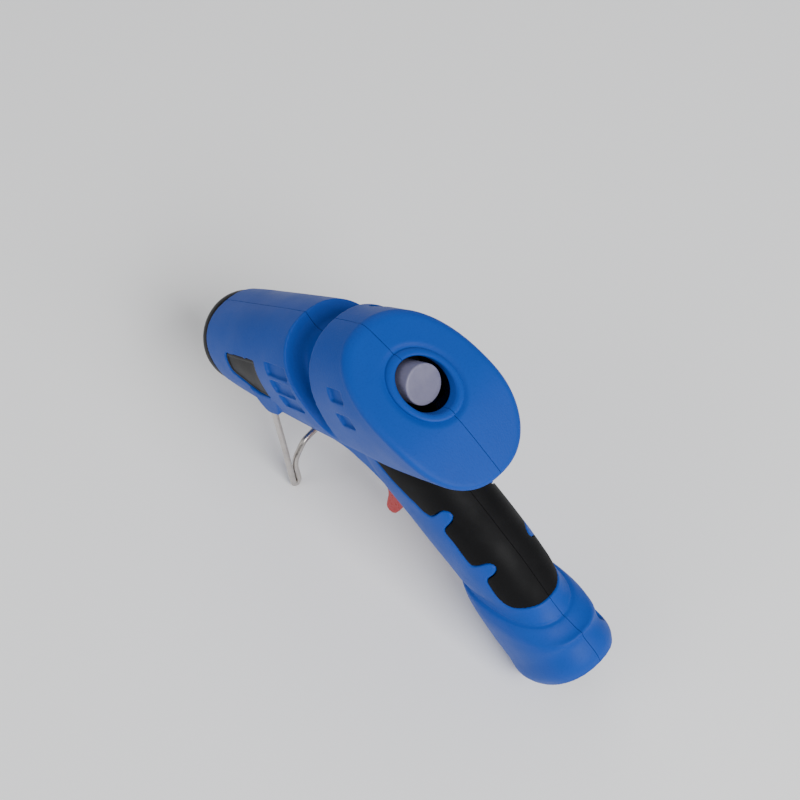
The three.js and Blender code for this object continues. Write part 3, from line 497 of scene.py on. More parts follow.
def largest_body(obj):
    """Deletes the slivers that a cut can leave beside the real body."""
    work = bmesh.new()
    work.from_mesh(obj.data)
    work.verts.ensure_lookup_table()
    seen = set()
    bodies = []
    for start in work.verts:
        if start.index in seen:
            continue
        seen.add(start.index)
        body, front = [start], [start]
        while front:
            for edge in front.pop().link_edges:
                for vert in edge.verts:
                    if vert.index not in seen:
                        seen.add(vert.index)
                        body.append(vert)
                        front.append(vert)
        bodies.append(body)
    bodies.sort(key=len)
    loose = [vert for body in bodies[:-1] for vert in body]
    bmesh.ops.delete(work, geom=loose, context="VERTS")
    work.to_mesh(obj.data)
    work.free()
    return obj


def moulded(obj, voxel, smoothing):
    """Remeshes a cut body evenly and softens its edges, as a mould's small radii do."""
    remesh = obj.modifiers.new("even", "REMESH")
    remesh.mode = "VOXEL"
    remesh.voxel_size = voxel
    remesh.adaptivity = 0
    soften = obj.modifiers.new("soften", "SMOOTH")
    soften.factor = 0.5
    soften.iterations = smoothing
    return largest_body(evaluated(obj))


def softened(obj, width, segments=3, angle=35):
    """Rounds the sharp edges of a machined or small moulded body."""
    bevel = obj.modifiers.new("edges", "BEVEL")
    bevel.width = width
    bevel.segments = segments
    bevel.limit_method = "ANGLE"
    bevel.angle_limit = math.radians(angle)
    bevel.use_clamp_overlap = True
    return evaluated(obj)


def finished(obj, body, slot, material, *nodes):
    """Puts a finished shape in the row frame, on its body, in its material, in place of its CAD nodes."""
    obj.data.transform(GUN_TO_ROW)
    for polygon in obj.data.polygons:
        polygon.use_smooth = True
    obj.data.set_sharp_from_angle(angle=math.radians(SHARP_EDGE))
    obj.data.materials.clear()
    obj.data.materials.append(material)
    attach(obj, body)
    if nodes:
        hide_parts(*nodes)
    return obj


# -------- barrel and handle forms

AROUND = np.linspace(0, 2 * math.pi, TURNS, endpoint=False)


def along(table, x):
    """The table's other columns at x, on a smooth curve through its rows."""
    rows = np.array(table, float)
    places = rows[:, 0]
    slopes = np.gradient(rows, places, axis=0)
    x = np.clip(np.asarray(x, float), places[0], places[-1])
    i = np.clip(np.searchsorted(places, x) - 1, 0, len(places) - 2)
    span = (places[i + 1] - places[i])[..., None]
    t = ((x - places[i]))[..., None] / span
    start = (1 + 2 * t) * (1 - t) ** 2 * rows[i] + t * (1 - t) ** 2 * span * slopes[i]
    end = t * t * (3 - 2 * t) * rows[i + 1] + t * t * (t - 1) * span * slopes[i + 1]
    return (start + end)[..., 1:]


def rear_face_x(z):
    """Where the rear face stands at a height, with the bend between its two slopes softened."""
    s = FACE_BEND_SOFTNESS
    above = s * np.log1p(np.exp(-np.abs(z - FACE_BEND_Z) / s)) + np.maximum(z - FACE_BEND_Z, 0)
    bend_x = FACE_BEND_Z * UPPER_LEAN
    return bend_x + (z - FACE_BEND_Z) * LOWER_LEAN + above * (UPPER_LEAN - LOWER_LEAN)


def rounded(value, power=SECTION_POWER):
    return np.sign(value) * np.abs(value) ** (2 / power)


def barrel_ring(x, inset):
    """One point of the barrel's section for each turn, at its own place along the barrel."""
    x = np.broadcast_to(np.asarray(x, float), AROUND.shape)
    half_width, top, bottom, level = np.moveaxis(along(BARREL, x), -1, 0)
    up = np.sin(AROUND)
    reach = np.where(up > 0, top - level, level - bottom) - inset
    y = (half_width - inset) * rounded(np.cos(AROUND))
    return np.stack([x, y, level + reach * rounded(up)], axis=1)


def waist_share(z):
    return np.clip((z - WAIST_TIP_Z) / (WAIST_TOP_Z - WAIST_TIP_Z), 0, 1)


def waist_x(across, z, spread):
    share = waist_share(z)
    rear_tip = WAIST_TIP_X - WAIST_TIP_WIDTH / 2
    front_tip = WAIST_TIP_X + WAIST_TIP_WIDTH / 2
    rear = rear_tip + (WAIST_REAR_X - rear_tip) * share ** WAIST_REAR_CURVE - spread
    front = front_tip + (WAIST_FRONT_X - front_tip) * share ** WAIST_FRONT_CURVE + spread
    return rear + (front - rear) * across


def waist_depth(across, z):
    """Depth of the groove: a flat floor between two steep, rounded walls, shallower towards the tip."""
    floor = np.sqrt(1 - np.abs(2 * across - 1) ** WAIST_FLATNESS)
    return WAIST_DEPTH * floor * np.minimum(1, waist_share(z) * WAIST_RUN_OUT)


def barrel(name, inset):
    """The barrel, or with an inset a smaller one with a sharp rear edge, for use as a cutter."""
    rings = []
    fillet = 0 if inset else FACE_FILLET
    face = barrel_ring(0, inset + fillet)
    heart = face.mean(axis=0)
    for share in np.linspace(*FACE_SPAN, FACE_RINGS):
        ring = heart + (face - heart) * share
        ring[:, 0] = rear_face_x(ring[:, 2]) + inset
        rings.append(ring)
    for angle in np.linspace(0, math.pi / 2, FILLET_RINGS if fillet else 1):
        ring = barrel_ring(0, inset + fillet * (1 - math.sin(angle)))
        ring[:, 0] = rear_face_x(ring[:, 2]) + inset + fillet * (1 - math.cos(angle))
        rings.append(ring)
    level = barrel_ring(WAIST_REAR_X, inset)[:, 2]
    rear = rings[-1][:, 0]
    crest = waist_x(0, level, inset)
    shares = np.linspace(0, 1, REAR_RINGS)[1:-1]
    rings += [barrel_ring(rear + (crest - rear) * share, inset) for share in shares]
    for step in np.linspace(0, math.pi, WAIST_RINGS):
        across = (1 - math.cos(step)) / 2
        x = waist_x(across, level, inset)
        ring = barrel_ring(x, inset)
        radius = np.hypot(ring[:, 1], ring[:, 2])
        ring[:, 1:] *= (1 - waist_depth(across, level) / radius)[:, None]
        rings.append(ring)
    lip = waist_x(1, level, inset)
    shares = np.linspace(0, 1, FRONT_RINGS)[1:]
    rings += [barrel_ring(lip + (NOSE_X - lip) * share, inset) for share in shares]
    if inset:
        end = rings[-1].copy()
        end[:, 0] += NOSE_OVERRUN
        rings.append(end)
    return loft(name, rings)


def handle(name, inset, hollow=False):
    """The handle, or the hollow in it, which stops short of the base's bottom wall."""
    rows = np.array(HANDLE, float)
    if hollow:
        rows = rows[:-BASE_ROWS]
    places = np.concatenate([[0], np.cumsum(np.hypot(*np.diff(rows[:, :2], axis=0).T))])
    table = np.column_stack([places, rows])
    rings = []
    for place in np.linspace(0, places[-1], HANDLE_RINGS):
        x, z, rake, half_depth, half_width = along(table, place)
        rake = math.radians(rake)
        forward = (half_depth - inset) * rounded(np.cos(AROUND))
        y = (half_width - inset) * rounded(np.sin(AROUND))
        ring = [x + forward * math.cos(rake), y, z - forward * math.sin(rake)]
        rings.append(np.stack(ring, axis=1))
    if hollow:
        rings[-1] = rings[-1] + np.array(HOLLOW_END)
    return loft(name, rings)


def port_ring(forward, grow, size):
    y = (size[0] + grow) * np.cos(AROUND)
    z = (size[1] + grow) * np.sin(AROUND)
    return np.stack([rear_face_x(z) + forward, y, z], axis=1)


def port_rim():
    """Raised ring with a rounded crown, standing in the groove."""
    rings = [port_ring(WALL, 0, PORT_RIM)]
    for turn in np.linspace(0, math.pi / 2, CROWN_RINGS):
        rings.append(port_ring(-RIM_PROUD * math.sin(turn), -RIM_PROUD * (1 - math.cos(turn)), PORT_RIM))
    return loft("rim", rings)


def port_groove():
    """Shallow groove round the ring."""
    return loft("groove", [port_ring(forward, grow, PORT_RIM) for forward, grow in GROOVE_RINGS])


def port_bore():
    """The hole for the stick, with a rounded mouth."""
    rings = [port_ring(forward, grow, PORT_BORE) for forward, grow in MOUTH_RINGS]
    end = rings[-1].copy()
    end[:, 0] = PORT_END_X
    return loft("bore", [*rings, end])


# -------- cutters


def vent_cutter():
    """Leaning pockets in both flanks, of the same depth all over."""
    plates = []
    for x, z, length, height in VENTS:
        outline = [(x + VENT_LEAN, z), (x + length + VENT_LEAN, z), (x + length, z + height), (x, z + height)]
        plates.append(plate("vent", rounded_corners(outline, VENT_CORNER), -FAR, FAR))
    return cut(joined(*plates), barrel("vent_floor", VENT_DEPTH))


def grown(points, distance):
    """A closed outline moved outwards, square to its edges."""
    corners = np.array(points, float)
    edges = np.roll(corners, -1, axis=0) - corners
    edges /= np.linalg.norm(edges, axis=1)[:, None]
    area = np.sum(corners[:, 0] * np.roll(corners[:, 1], -1) - np.roll(corners[:, 0], -1) * corners[:, 1])
    outward = np.stack([edges[:, 1], -edges[:, 0]], axis=1) * np.sign(area)
    before = np.roll(outward, 1, axis=0)
    mitre = before + outward
    mitre /= np.linalg.norm(mitre, axis=1)[:, None]
    return corners + mitre * (distance / np.sum(mitre * before, axis=1))[:, None]


def grip_region(grow):
    smooth = rounded_corners([*GRIP_FRONT, *GRIP_BACK], GRIP_CORNER)
    return plate("grip_region", [tuple(point) for point in grown(smooth, grow)], -FAR, FAR)


def badge_region(margin, low, high):
    smooth = rounded_corners(BADGE, BADGE_CORNER)
    return plate("badge_region", [tuple(point) for point in grown(smooth, margin)], low, high)


def trigger_slot():
    return plate("slot", TRIGGER_SLOT, -TRIGGER_ROOM, TRIGGER_ROOM)


def throat_band(first, last, deep, shallow):
    """Outline of a band along the throat's underside, between two depths below its surface."""
    line = np.array(THROAT[first:last], float)
    edges = np.gradient(line, axis=0)
    edges /= np.linalg.norm(edges, axis=1)[:, None]
    inwards = np.stack([edges[:, 1], -edges[:, 0]], axis=1)
    low, high = line + deep * inwards, line + shallow * inwards
    return [tuple(point) for point in (*low, *high[::-1])]


def rating_recess():
    first, last, thickness, sunk, from_y, to_y = RATING_PLATE
    outline = throat_band(first - 1, last + 1, sunk + thickness, -THROAT_HALF_WIDTH)
    return plate("rating_recess", outline, from_y - GAP / 2, to_y + GAP / 2)


def stand_slot(side):
    """Room in the barrel's flank for one leg of the stand, from standing to folded."""
    def place(turn, down, forward):
        x = STAND_PIVOT[0] + down * math.sin(turn) + forward * math.cos(turn)
        return (x, STAND_PIVOT[1] - down * math.cos(turn) + forward * math.sin(turn))

    standing = STAND_LEAN - STAND_SLOT_SPARE
    folded = STAND_LEAN + STAND_FOLD + STAND_SLOT_SPARE
    outline = [
        place(standing, -STAND_ROOM, -STAND_ROOM), place(standing, FAR, -STAND_ROOM),
        place(folded, FAR, STAND_ROOM), place(folded, -STAND_ROOM, STAND_ROOM),
    ]
    inner, outer = STAND_HALF_WIDTH - STAND_ROOM, STAND_HALF_WIDTH + STAND_ROOM
    return plate("stand_slot", outline, *sorted((side * inner, side * outer)))


def below_bench():
    """Everything under the bench, in the gun's frame."""
    slab = block("bench", (-2 * FAR, -FAR, -FAR), (2 * FAR, FAR, 0))
    slab.data.transform(GUN_TO_ROW.inverted() @ Matrix.Scale(MM, 4))
    return slab


def half_space(side):
    near, far = side * SEAM, side * FAR
    return block("half", (-FAR, min(near, far), -FAR), (FAR, max(near, far), FAR))


def gland_hole():
    reach = GLAND_HOLE_LENGTH / 2
    hole = cross_pin("gland_hole", (0, 0), GLAND_HOLE_RADIUS, -reach, reach)
    upright = Matrix.Rotation(math.pi / 2, 4, "X")
    raked = Matrix.Rotation(math.radians(BASE_RAKE), 4, "Y")
    hole.data.transform(Matrix.Translation((BASE_X, 0, BASE_Z)) @ raked @ upright)
    return hole


def sided_pin(name, place, radius, side, near, far):
    low, high = sorted((side * near, side * far))
    return cross_pin(name, place, radius, low, high)


# -------- housing and grips


def chamber_rib(x, seat_radius):
    """A wall across the barrel, with a round seat for the chamber and a notch for its heater."""
    rear, front = x - 1, x + RIB_THICKNESS + 1
    low, high = NOTCH_HEIGHTS
    rib = block("rib", (x, -INSIDE_REACH, -INSIDE_REACH), (x + RIB_THICKNESS, INSIDE_REACH, INSIDE_REACH))
    seat = turned("seat", [(rear, 0), (rear, seat_radius), (front, seat_radius), (front, 0)])
    notch = block("notch", (rear, -NOTCH_HALF_WIDTH, low), (front, NOTCH_HALF_WIDTH, high))
    return cut(rib, seat, notch)


def outer_form():
    outline = rounded_corners(CHEEK, CHEEK_CORNER)
    cheeks = plate("cheeks", outline, -CHEEK_HALF_WIDTH, CHEEK_HALF_WIDTH)
    throat = plate("throat", [*THROAT, *THROAT_INSIDE], -THROAT_HALF_WIDTH, THROAT_HALF_WIDTH)
    form = joined(barrel("outer", 0), handle("outer_handle", 0), cheeks, throat)
    return cut(form, below_bench())


def housing_inserts(outer):
    """Posts for the screws and pivots, and ribs for the chamber, trimmed to the outside."""
    inserts = [chamber_rib(x, radius + GAP) for x, radius in CHAMBER_RIBS]
    for side, radius in ((1, LEFT_POST_RADIUS), (-1, RIGHT_POST_RADIUS)):
        inserts += [sided_pin("post", place, radius, side, 0, INSIDE_REACH) for place in SCREWS]
        for place, room in ((TRIGGER_PIVOT, TRIGGER_ROOM), (LEVER_PIVOT, LEVER_ROOM)):
            inserts.append(sided_pin("pivot", place, PIVOT_POST_RADIUS, side, room, INSIDE_REACH))
    return kept(joined(*inserts), copied(outer))


def crease():
    """Cutter for the groove round the handle where its base begins."""
    x, z, rake, width, depth = CREASE
    slab = block("slab", (-FAR, -FAR, -width / 2), (FAR, FAR, width / 2))
    raked = Matrix.Rotation(math.radians(rake), 4, "Y")
    slab.data.transform(Matrix.Translation((x, 0, z)) @ raked)
    return cut(slab, handle("crease_floor", depth))


def housing_holes():
    holes = []
    for place in SCREWS:
        holes.append(cross_pin("hole", place, SCREW_SHANK_RADIUS + GAP, SCREW_SEAT_Y - 1, SCREW_TIP_Y + GAP))
        holes.append(cross_pin("counterbore", place, COUNTERBORE_RADIUS, -FAR, SCREW_SEAT_Y))
    for side in (1, -1):
        outer = STAND_HALF_WIDTH + STAND_ROOM
        holes.append(sided_pin("wire", STAND_PIVOT, STAND_ROOM, side, STAND_END_Y, outer))
        holes.append(stand_slot(side))
        holes.append(badge_region(GAP / 2, *sorted((side * (BADGE_Y - GAP), side * FAR))))
    return holes


def stand_boss(side):
    return sided_pin("boss", STAND_PIVOT, STAND_BOSS, side, STAND_END_Y, STAND_HALF_WIDTH - STAND_ROOM)


def grip_layer(name, top, floor, region, barrel_inset):
    layer = cut(handle(name, top), handle("floor", floor))
    return cut(kept(layer, grip_region(region)), barrel("barrel", barrel_inset))


def split(whole, names):
    """The left and right halves of a whole, with a fine seam between them."""
    halves = []
    for side, name in zip((1, -1), names):
        half = kept(copied(whole), half_space(side))
        half.name = name
        halves.append(largest_body(half))
    bpy.data.objects.remove(whole)
    return halves


def housings():
    """Both moulded halves, made as one shell so that their surfaces meet along the seam."""
    outer = outer_form()
    shell = copied(outer)
    cut(shell, joined(barrel("inner", WALL), handle("inner_handle", HANDLE_WALL, hollow=True)))
    joined(shell, housing_inserts(outer), stand_boss(1), stand_boss(-1))
    bpy.data.objects.remove(outer)
    layer = grip_layer("layer", -GAP, GRIP_DEPTH + GAP / 2, GAP / 2, 0)
    slots = [trigger_slot(), block("lever_slot", *LEVER_SLOT), rating_recess(), gland_hole()]
    cut(shell, layer, crease(), vent_cutter(), port_groove(), *slots, *housing_holes())
    moulded(largest_body(shell), VOXEL, SHELL_PASSES)
    cut(joined(shell, port_rim()), port_bore())
    return split(shell, ("shell_left", "shell_right"))


def grips():
    layer = grip_layer("layer", 0, GRIP_DEPTH, -GAP / 2, -GAP / 3)
    pads = moulded(largest_body(layer), FINE_VOXEL, GRIP_PASSES)
    return split(pads, ("grip_pad_left", "grip_pad_right"))


def rating_plate():
    first, last, thickness, sunk, from_y, to_y = RATING_PLATE
    body = plate("foil_plate", throat_band(first, last, sunk + thickness, sunk), from_y, to_y)
    return softened(body, width=0.08, segments=2)


def badge(side):
    """A plate with rounded edges and a raised border, blank."""
    low, high = sorted((side * BADGE_Y, side * FAR))
    body = kept(badge_region(0, low, high), barrel("barrel", BADGE_SUNK))
    body.name = "badge_plate_left" if side > 0 else "badge_plate_right"
    field = cut(badge_region(-BADGE_BORDER, low, high), barrel("barrel", BADGE_SUNK + BADGE_FIELD))
    return moulded(largest_body(cut(body, field)), FINE_VOXEL, BADGE_PASSES)


# -------- other pieces


def nose_ring():
    return softened(turned("nose_ring", NOSE_RING, segments=128), width=0.25)


def glue_stick():
    side = [(x, STICK_RADIUS) for x in STICK_RINGS]
    return turned("stick", [*STICK_END, *side, (STICK_FRONT, 0.0)])


def nozzle_tip():
    return softened(turned("nozzle_tip", NOZZLE), width=0.12)


def nozzle_boot():
    return softened(turned("nozzle_boot", NOZZLE_JACKET), width=0.15)


def curved(start, control, end, steps=14):
    """Points after the start, along a quadratic curve."""
    start, control, end = (np.array(point, float) for point in (start, control, end))
    shares = [k / steps for k in range(1, steps + 1)]
    return [tuple((1 - t) ** 2 * start + 2 * t * (1 - t) * control + t * t * end) for t in shares]


def trigger_blade():
    """Curved finger lever with a lip at its lower end."""
    finger = curved(TRIGGER_TOP[-1], *TRIGGER_HOLLOW)
    outline = [*TRIGGER_TOP, *finger, *TRIGGER_TOE, *TRIGGER_BACK]
    blade = plate("trigger_blade", outline, -TRIGGER_HALF_WIDTH, TRIGGER_HALF_WIDTH)
    hub = cross_pin("hub", TRIGGER_PIVOT, TRIGGER_HUB, -TRIGGER_HALF_WIDTH, TRIGGER_HALF_WIDTH)
    hole = cross_pin("hole", TRIGGER_PIVOT, TRIGGER_HOLE, -TRIGGER_ROOM, TRIGGER_ROOM)
    cut(joined(blade, hub), hole)
    return moulded(blade, FINE_VOXEL, TRIGGER_PASSES)


def stand_half(side):
    x, z = STAND_PIVOT
    forward, upward = math.sin(STAND_LEAN), -math.cos(STAND_LEAN)
    places = [(down, side * (STAND_HALF_WIDTH - inwards)) for down, inwards in STAND_WIRE]
    return [(x + down * forward, y, z + down * upward) for down, y in places]


def swept(name, centres, radius, sides=20):
    """A round bar along closely spaced centres, with domed ends."""
    centres = [Vector(centre) for centre in centres]
    tangents = []
    for i in range(len(centres)):
        ahead = centres[min(i + 1, len(centres) - 1)]
        behind = centres[max(i - 1, 0)]
        tangents.append((ahead - behind).normalized())
    spokes = []
    normal = tangents[0].orthogonal().normalized()
    for i, tangent in enumerate(tangents):
        if i:
            normal = tangents[i - 1].rotation_difference(tangent) @ normal
        across = tangent.cross(normal)
        turns = [2 * math.pi * k / sides for k in range(sides)]
        spokes.append([normal * math.cos(turn) + across * math.sin(turn) for turn in turns])

    def ring(i, reach=0.0, scale=1.0):
        heart = centres[i] + tangents[i] * radius * reach
        return np.array([tuple(heart + radius * scale * spoke) for spoke in spokes[i]])

    start = [ring(0, -reach, scale) for reach, scale in reversed(BAR_END)]
    end = [ring(-1, reach, scale) for reach, scale in BAR_END]
    return loft(name, [*start, *(ring(i) for i in range(len(centres))), *end])


def smooth_path(points, spacing):
    """Catmull-Rom curve through the points, centripetal, sampled at about the spacing."""
    points = [Vector(point) for point in points]
    padded = [2 * points[0] - points[1], *points, 2 * points[-1] - points[-2]]
    path = []
    for p0, p1, p2, p3 in zip(padded, padded[1:], padded[2:], padded[3:]):
        t0 = 0.0
        t1 = t0 + (p1 - p0).length ** 0.5
        t2 = t1 + (p2 - p1).length ** 0.5
        t3 = t2 + (p3 - p2).length ** 0.5
        steps = max(2, int((p2 - p1).length / spacing))
        for i in range(steps):
            t = t1 + (t2 - t1) * i / steps
            a1 = (t1 - t) / (t1 - t0) * p0 + (t - t0) / (t1 - t0) * p1
            a2 = (t2 - t) / (t2 - t1) * p1 + (t - t1) / (t2 - t1) * p2
            a3 = (t3 - t) / (t3 - t2) * p2 + (t - t2) / (t3 - t2) * p3
            b1 = (t2 - t) / (t2 - t0) * a1 + (t - t0) / (t2 - t0) * a2
            b2 = (t3 - t) / (t3 - t1) * a2 + (t - t1) / (t3 - t1) * a3
            path.append((t2 - t) / (t2 - t1) * b1 + (t - t1) / (t2 - t1) * b2)
    path.append(points[-1])
    return path


def wire_stand():
    centres = smooth_path([*stand_half(1), *reversed(stand_half(-1))], WIRE_STEP)
    return swept("stand_wire", centres, WIRE_RADIUS)


def screw(index, place):
    """Pan-head screw with a cross recess."""
    x, z = place
    seat, top = SCREW_SEAT_Y, SCREW_SEAT_Y - SCREW_HEAD_HEIGHT
    profile = [
        *((top + down, radius) for down, radius in SCREW_CROWN),
        (seat - SCREW_EDGE, SCREW_HEAD_RADIUS), (seat, SCREW_HEAD_RADIUS - SCREW_EDGE),
        (seat, SCREW_SHANK_RADIUS), (SCREW_TIP_Y - SCREW_POINT, SCREW_SHANK_RADIUS),
        (SCREW_TIP_Y, SCREW_POINT_RADIUS), (SCREW_TIP_Y, 0),
    ]
    body = turned(f"screw_{index}", profile, segments=48)
    body.data.transform(Matrix.Translation((x, 0, z)) @ Matrix.Rotation(math.pi / 2, 4, "Z"))
    slots = []
    for dx, dz in ((CROSS_HALF_WIDTH, CROSS_HALF_LENGTH), (CROSS_HALF_LENGTH, CROSS_HALF_WIDTH)):
        slots.append(block("slot", (x - dx, top - 1, z - dz), (x + dx, top + CROSS_DEPTH, z + dz)))
    return softened(cut(body, *slots), width=0.06, segments=2)


def cord_gland():
    """Bush for the cord, in the bottom of the handle."""
    body = turned("gland", GLAND, segments=72)
    upright = Matrix.Rotation(-math.pi / 2, 4, "Y")
    raked = Matrix.Rotation(math.radians(BASE_RAKE), 4, "Y")
    body.data.transform(Matrix.Translation(GLAND_PLACE) @ raked @ upright)
    return softened(body, width=0.2)


# -------- materials


class Finish:
    """A material built round one Principled shader, with patterns laid out in object space, in metres."""

    def __init__(self, name, colour, roughness, metallic=0.0):
        self.material = bpy.data.materials.new(name)
        self.material.use_nodes = True
        self.tree = self.material.node_tree
        self.shader = self.tree.nodes["Principled BSDF"]
        self.set(Metallic=metallic, Roughness=roughness)
        self.shader.inputs["Base Color"].default_value = (*colour, 1)
        self.place = self.tree.nodes.new("ShaderNodeTexCoord").outputs["Object"]
        self.colour = colour

    def set(self, **values):
        for name, value in values.items():
            self.shader.inputs[name.replace("_", " ")].default_value = value

    def node(self, kind, inputs=(), **settings):
        made = self.tree.nodes.new(kind)
        for name, value in settings.items():
            setattr(made, name, value)
        for name, value in dict(inputs).items():
            if isinstance(value, bpy.types.NodeSocket):
                self.tree.links.new(value, made.inputs[name])
            else:
                made.inputs[name].default_value = value
        return made

    def noise(self, size, detail=3.0, roughness=0.5, place=None):
        """Noise whose features are about the given size in millimetres."""
        inputs = {"Vector": place or self.place, "Scale": 1 / (size * MM)}
        inputs.update(Detail=detail, Roughness=roughness)
        return self.node("ShaderNodeTexNoise", inputs).outputs["Fac"]

    def cells(self, size):
        inputs = {"Vector": self.place, "Scale": 1 / (size * MM)}
        return self.node("ShaderNodeTexVoronoi", inputs).outputs["Distance"]

    def stretched(self, scale):
        return self.node("ShaderNodeMapping", {"Vector": self.place, "Scale": scale}).outputs["Vector"]

    def ranged(self, value, low, high, to_low, to_high):
        inputs = {"Value": value, "From Min": low, "From Max": high, "To Min": to_low, "To Max": to_high}
        return self.node("ShaderNodeMapRange", inputs).outputs["Result"]

    def tinted(self, factor, other, base=None):
        """The base colour, turned towards another one by a factor that varies over the surface."""
        made = self.node("ShaderNodeMix", data_type="RGBA")
        self.tree.links.new(factor, made.inputs[0])
        if base is None:
            made.inputs[6].default_value = (*self.colour, 1)
        else:
            self.tree.links.new(base, made.inputs[6])
        made.inputs[7].default_value = (*other, 1)
        return made.outputs[2]

    def put(self, socket, name):
        self.tree.links.new(socket, self.shader.inputs[name])

    def mottle(self, pattern, low, high, share, other):
        """The base colour, turned by up to a share towards another one where the pattern is high."""
        self.put(self.tinted(self.ranged(pattern, low, high, 0, share), other), "Base Color")

    def roughen(self, pattern, smooth, rough, low=0.3, high=0.7):
        """Roughness that goes from one value to another as the pattern goes from low to high."""
        self.put(self.ranged(pattern, low, high, smooth, rough), "Roughness")

    def bump(self, height, depth, strength=1.0, under=None):
        """Bump of the given depth in millimetres, over another bump where there is one."""
        inputs = {"Height": height, "Distance": depth * MM, "Strength": strength}
        if under is not None:
            inputs["Normal"] = under
        return self.node("ShaderNodeBump", inputs).outputs["Normal"]


def lighter(colour, share):
    return tuple(c + (1 - c) * share for c in colour)


def darker(colour, share):
    return tuple(c * (1 - share) for c in colour)


def eroded_plastic(name, colour, roughness, grain, depth):
    """Moulded plastic with the fine spark-eroded texture of its mould."""
    finish = Finish(name, colour, roughness)
    clouds = finish.ranged(finish.noise(26, 2), 0.35, 0.65, 0, 0.4)
    base = finish.tinted(clouds, darker(colour, 0.16))
    pits = finish.ranged(finish.noise(grain, 2), 0.5, 0.75, 0, 0.35)
    finish.put(finish.tinted(pits, darker(colour, 0.3), base), "Base Color")
    rubbed = finish.noise(14, 4)
    finish.roughen(rubbed, roughness - 0.06, roughness + 0.07)
    fine = finish.bump(finish.noise(grain, 2, 0.6), depth)
    finish.put(finish.bump(finish.noise(9, 1), depth * 1.5, 0.25, fine), "Normal")
    return finish


def blue_plastic():
    finish = eroded_plastic("blue_shell", (0.003, 0.058, 0.36), 0.52, 0.5, 0.06)
    finish.set(Specular_IOR_Level=0.2)
    return finish.material


def black_plastic():
    finish = eroded_plastic("black_plastic", (0.004, 0.004, 0.0045), 0.42, 0.35, 0.02)
    finish.set(Specular_IOR_Level=0.15)
    return finish.material


def soft_grip():
    """Soft-touch moulding: matt, finely stippled, a little polished where a hand rubs it."""
    colour = (0.0022, 0.0022, 0.0027)
    finish = Finish("soft_grip", colour, 0.7)
    finish.mottle(finish.noise(7, 5, 0.6), 0.5, 0.75, 0.35, lighter(colour, 0.006))
    finish.roughen(finish.noise(12, 3), 0.56, 0.74)
    stipple = finish.bump(finish.cells(0.45), 0.02)
    finish.put(finish.bump(finish.noise(1.8, 3), 0.02, 0.4, stipple), "Normal")
    finish.set(Specular_IOR_Level=0.14)
    return finish.material


def red_plastic():
    colour = (0.4, 0.0015, 0.001)
    finish = Finish("red_plastic", colour, 0.32)
    finish.mottle(finish.noise(9, 3), 0.35, 0.65, 0.5, darker(colour, 0.18))
    scuffs = finish.noise(0.9, 4, 0.7, finish.stretched((1, 6, 1)))
    finish.roughen(scuffs, 0.26, 0.48, 0.4, 0.75)
    finish.put(finish.bump(finish.noise(2.5, 2), 0.012, 0.5), "Normal")
    finish.set(Specular_IOR_Level=0.12)
    return finish.material


def drawn_metal(name, colour, roughness, stretch, depth=0.004):
    """Metal with fine marks along the direction in which it was drawn, turned or ground."""
    finish = Finish(name, colour, roughness, 1.0)
    marks = finish.noise(0.25, 4, 0.6, finish.stretched(stretch))
    finish.mottle(finish.noise(4, 4, 0.6), 0.45, 0.75, 0.55, darker(colour, 0.35))
    finish.roughen(marks, roughness - 0.08, roughness + 0.1)
    finish.put(finish.bump(marks, depth), "Normal")
    return finish.material


def cast_metal():
    colour = (0.48, 0.485, 0.49)
    finish = Finish("cast_aluminium", colour, 0.48, 1.0)
    finish.mottle(finish.noise(3, 5), 0.4, 0.7, 0.6, darker(colour, 0.4))
    finish.roughen(finish.noise(1.2, 4), 0.38, 0.6)
    finish.put(finish.bump(finish.noise(0.5, 4), 0.05), "Normal")
    return finish.material


def silicone_rubber():
    colour = (0.27, 0.035, 0.022)
    finish = Finish("silicone", colour, 0.55)
    finish.mottle(finish.noise(3, 4), 0.4, 0.7, 0.6, darker(colour, 0.3))
    finish.roughen(finish.noise(1.5, 3), 0.45, 0.68)
    finish.put(finish.bump(finish.noise(0.4, 3), 0.015), "Normal")
    finish.set(Subsurface_Weight=0.1, Subsurface_Scale=0.001)
    return finish.material


def fired_ceramic():
    colour = (0.72, 0.69, 0.61)
    finish = Finish("ceramic", colour, 0.6)
    finish.mottle(finish.noise(1.6, 5), 0.45, 0.7, 0.6, darker(colour, 0.25))
    finish.roughen(finish.noise(0.8, 3), 0.5, 0.75)
    finish.put(finish.bump(finish.noise(0.3, 3), 0.02), "Normal")
    return finish.material


def hot_melt():
    """Milky, faintly violet resin, clouded inside and scuffed outside."""
    colour = (0.17, 0.165, 0.25)
    finish = Finish("glue", colour, 0.38)
    finish.mottle(finish.noise(3.5, 4, 0.6), 0.35, 0.7, 0.6, (0.21, 0.20, 0.29))
    finish.roughen(finish.noise(1.1, 5, 0.7), 0.28, 0.52)
    finish.put(finish.bump(finish.noise(1.4, 4), 0.03), "Normal")
    finish.set(Subsurface_Weight=0.3, Subsurface_Scale=0.002, Subsurface_Radius=(1.0, 1.0, 1.3))
    return finish.material


def woven_sleeving():
    colour = (0.7, 0.67, 0.58)
    finish = Finish("lead_sleeving", colour, 0.8)
    wave = finish.node("ShaderNodeTexWave", {"Vector": finish.place, "Scale": 900, "Distortion": 2.0})
    finish.put(finish.tinted(wave.outputs["Fac"], darker(colour, 0.35)), "Base Color")
    finish.roughen(finish.noise(1.0, 3), 0.7, 0.9)
    finish.put(finish.bump(wave.outputs["Fac"], 0.06), "Normal")
    return finish.material


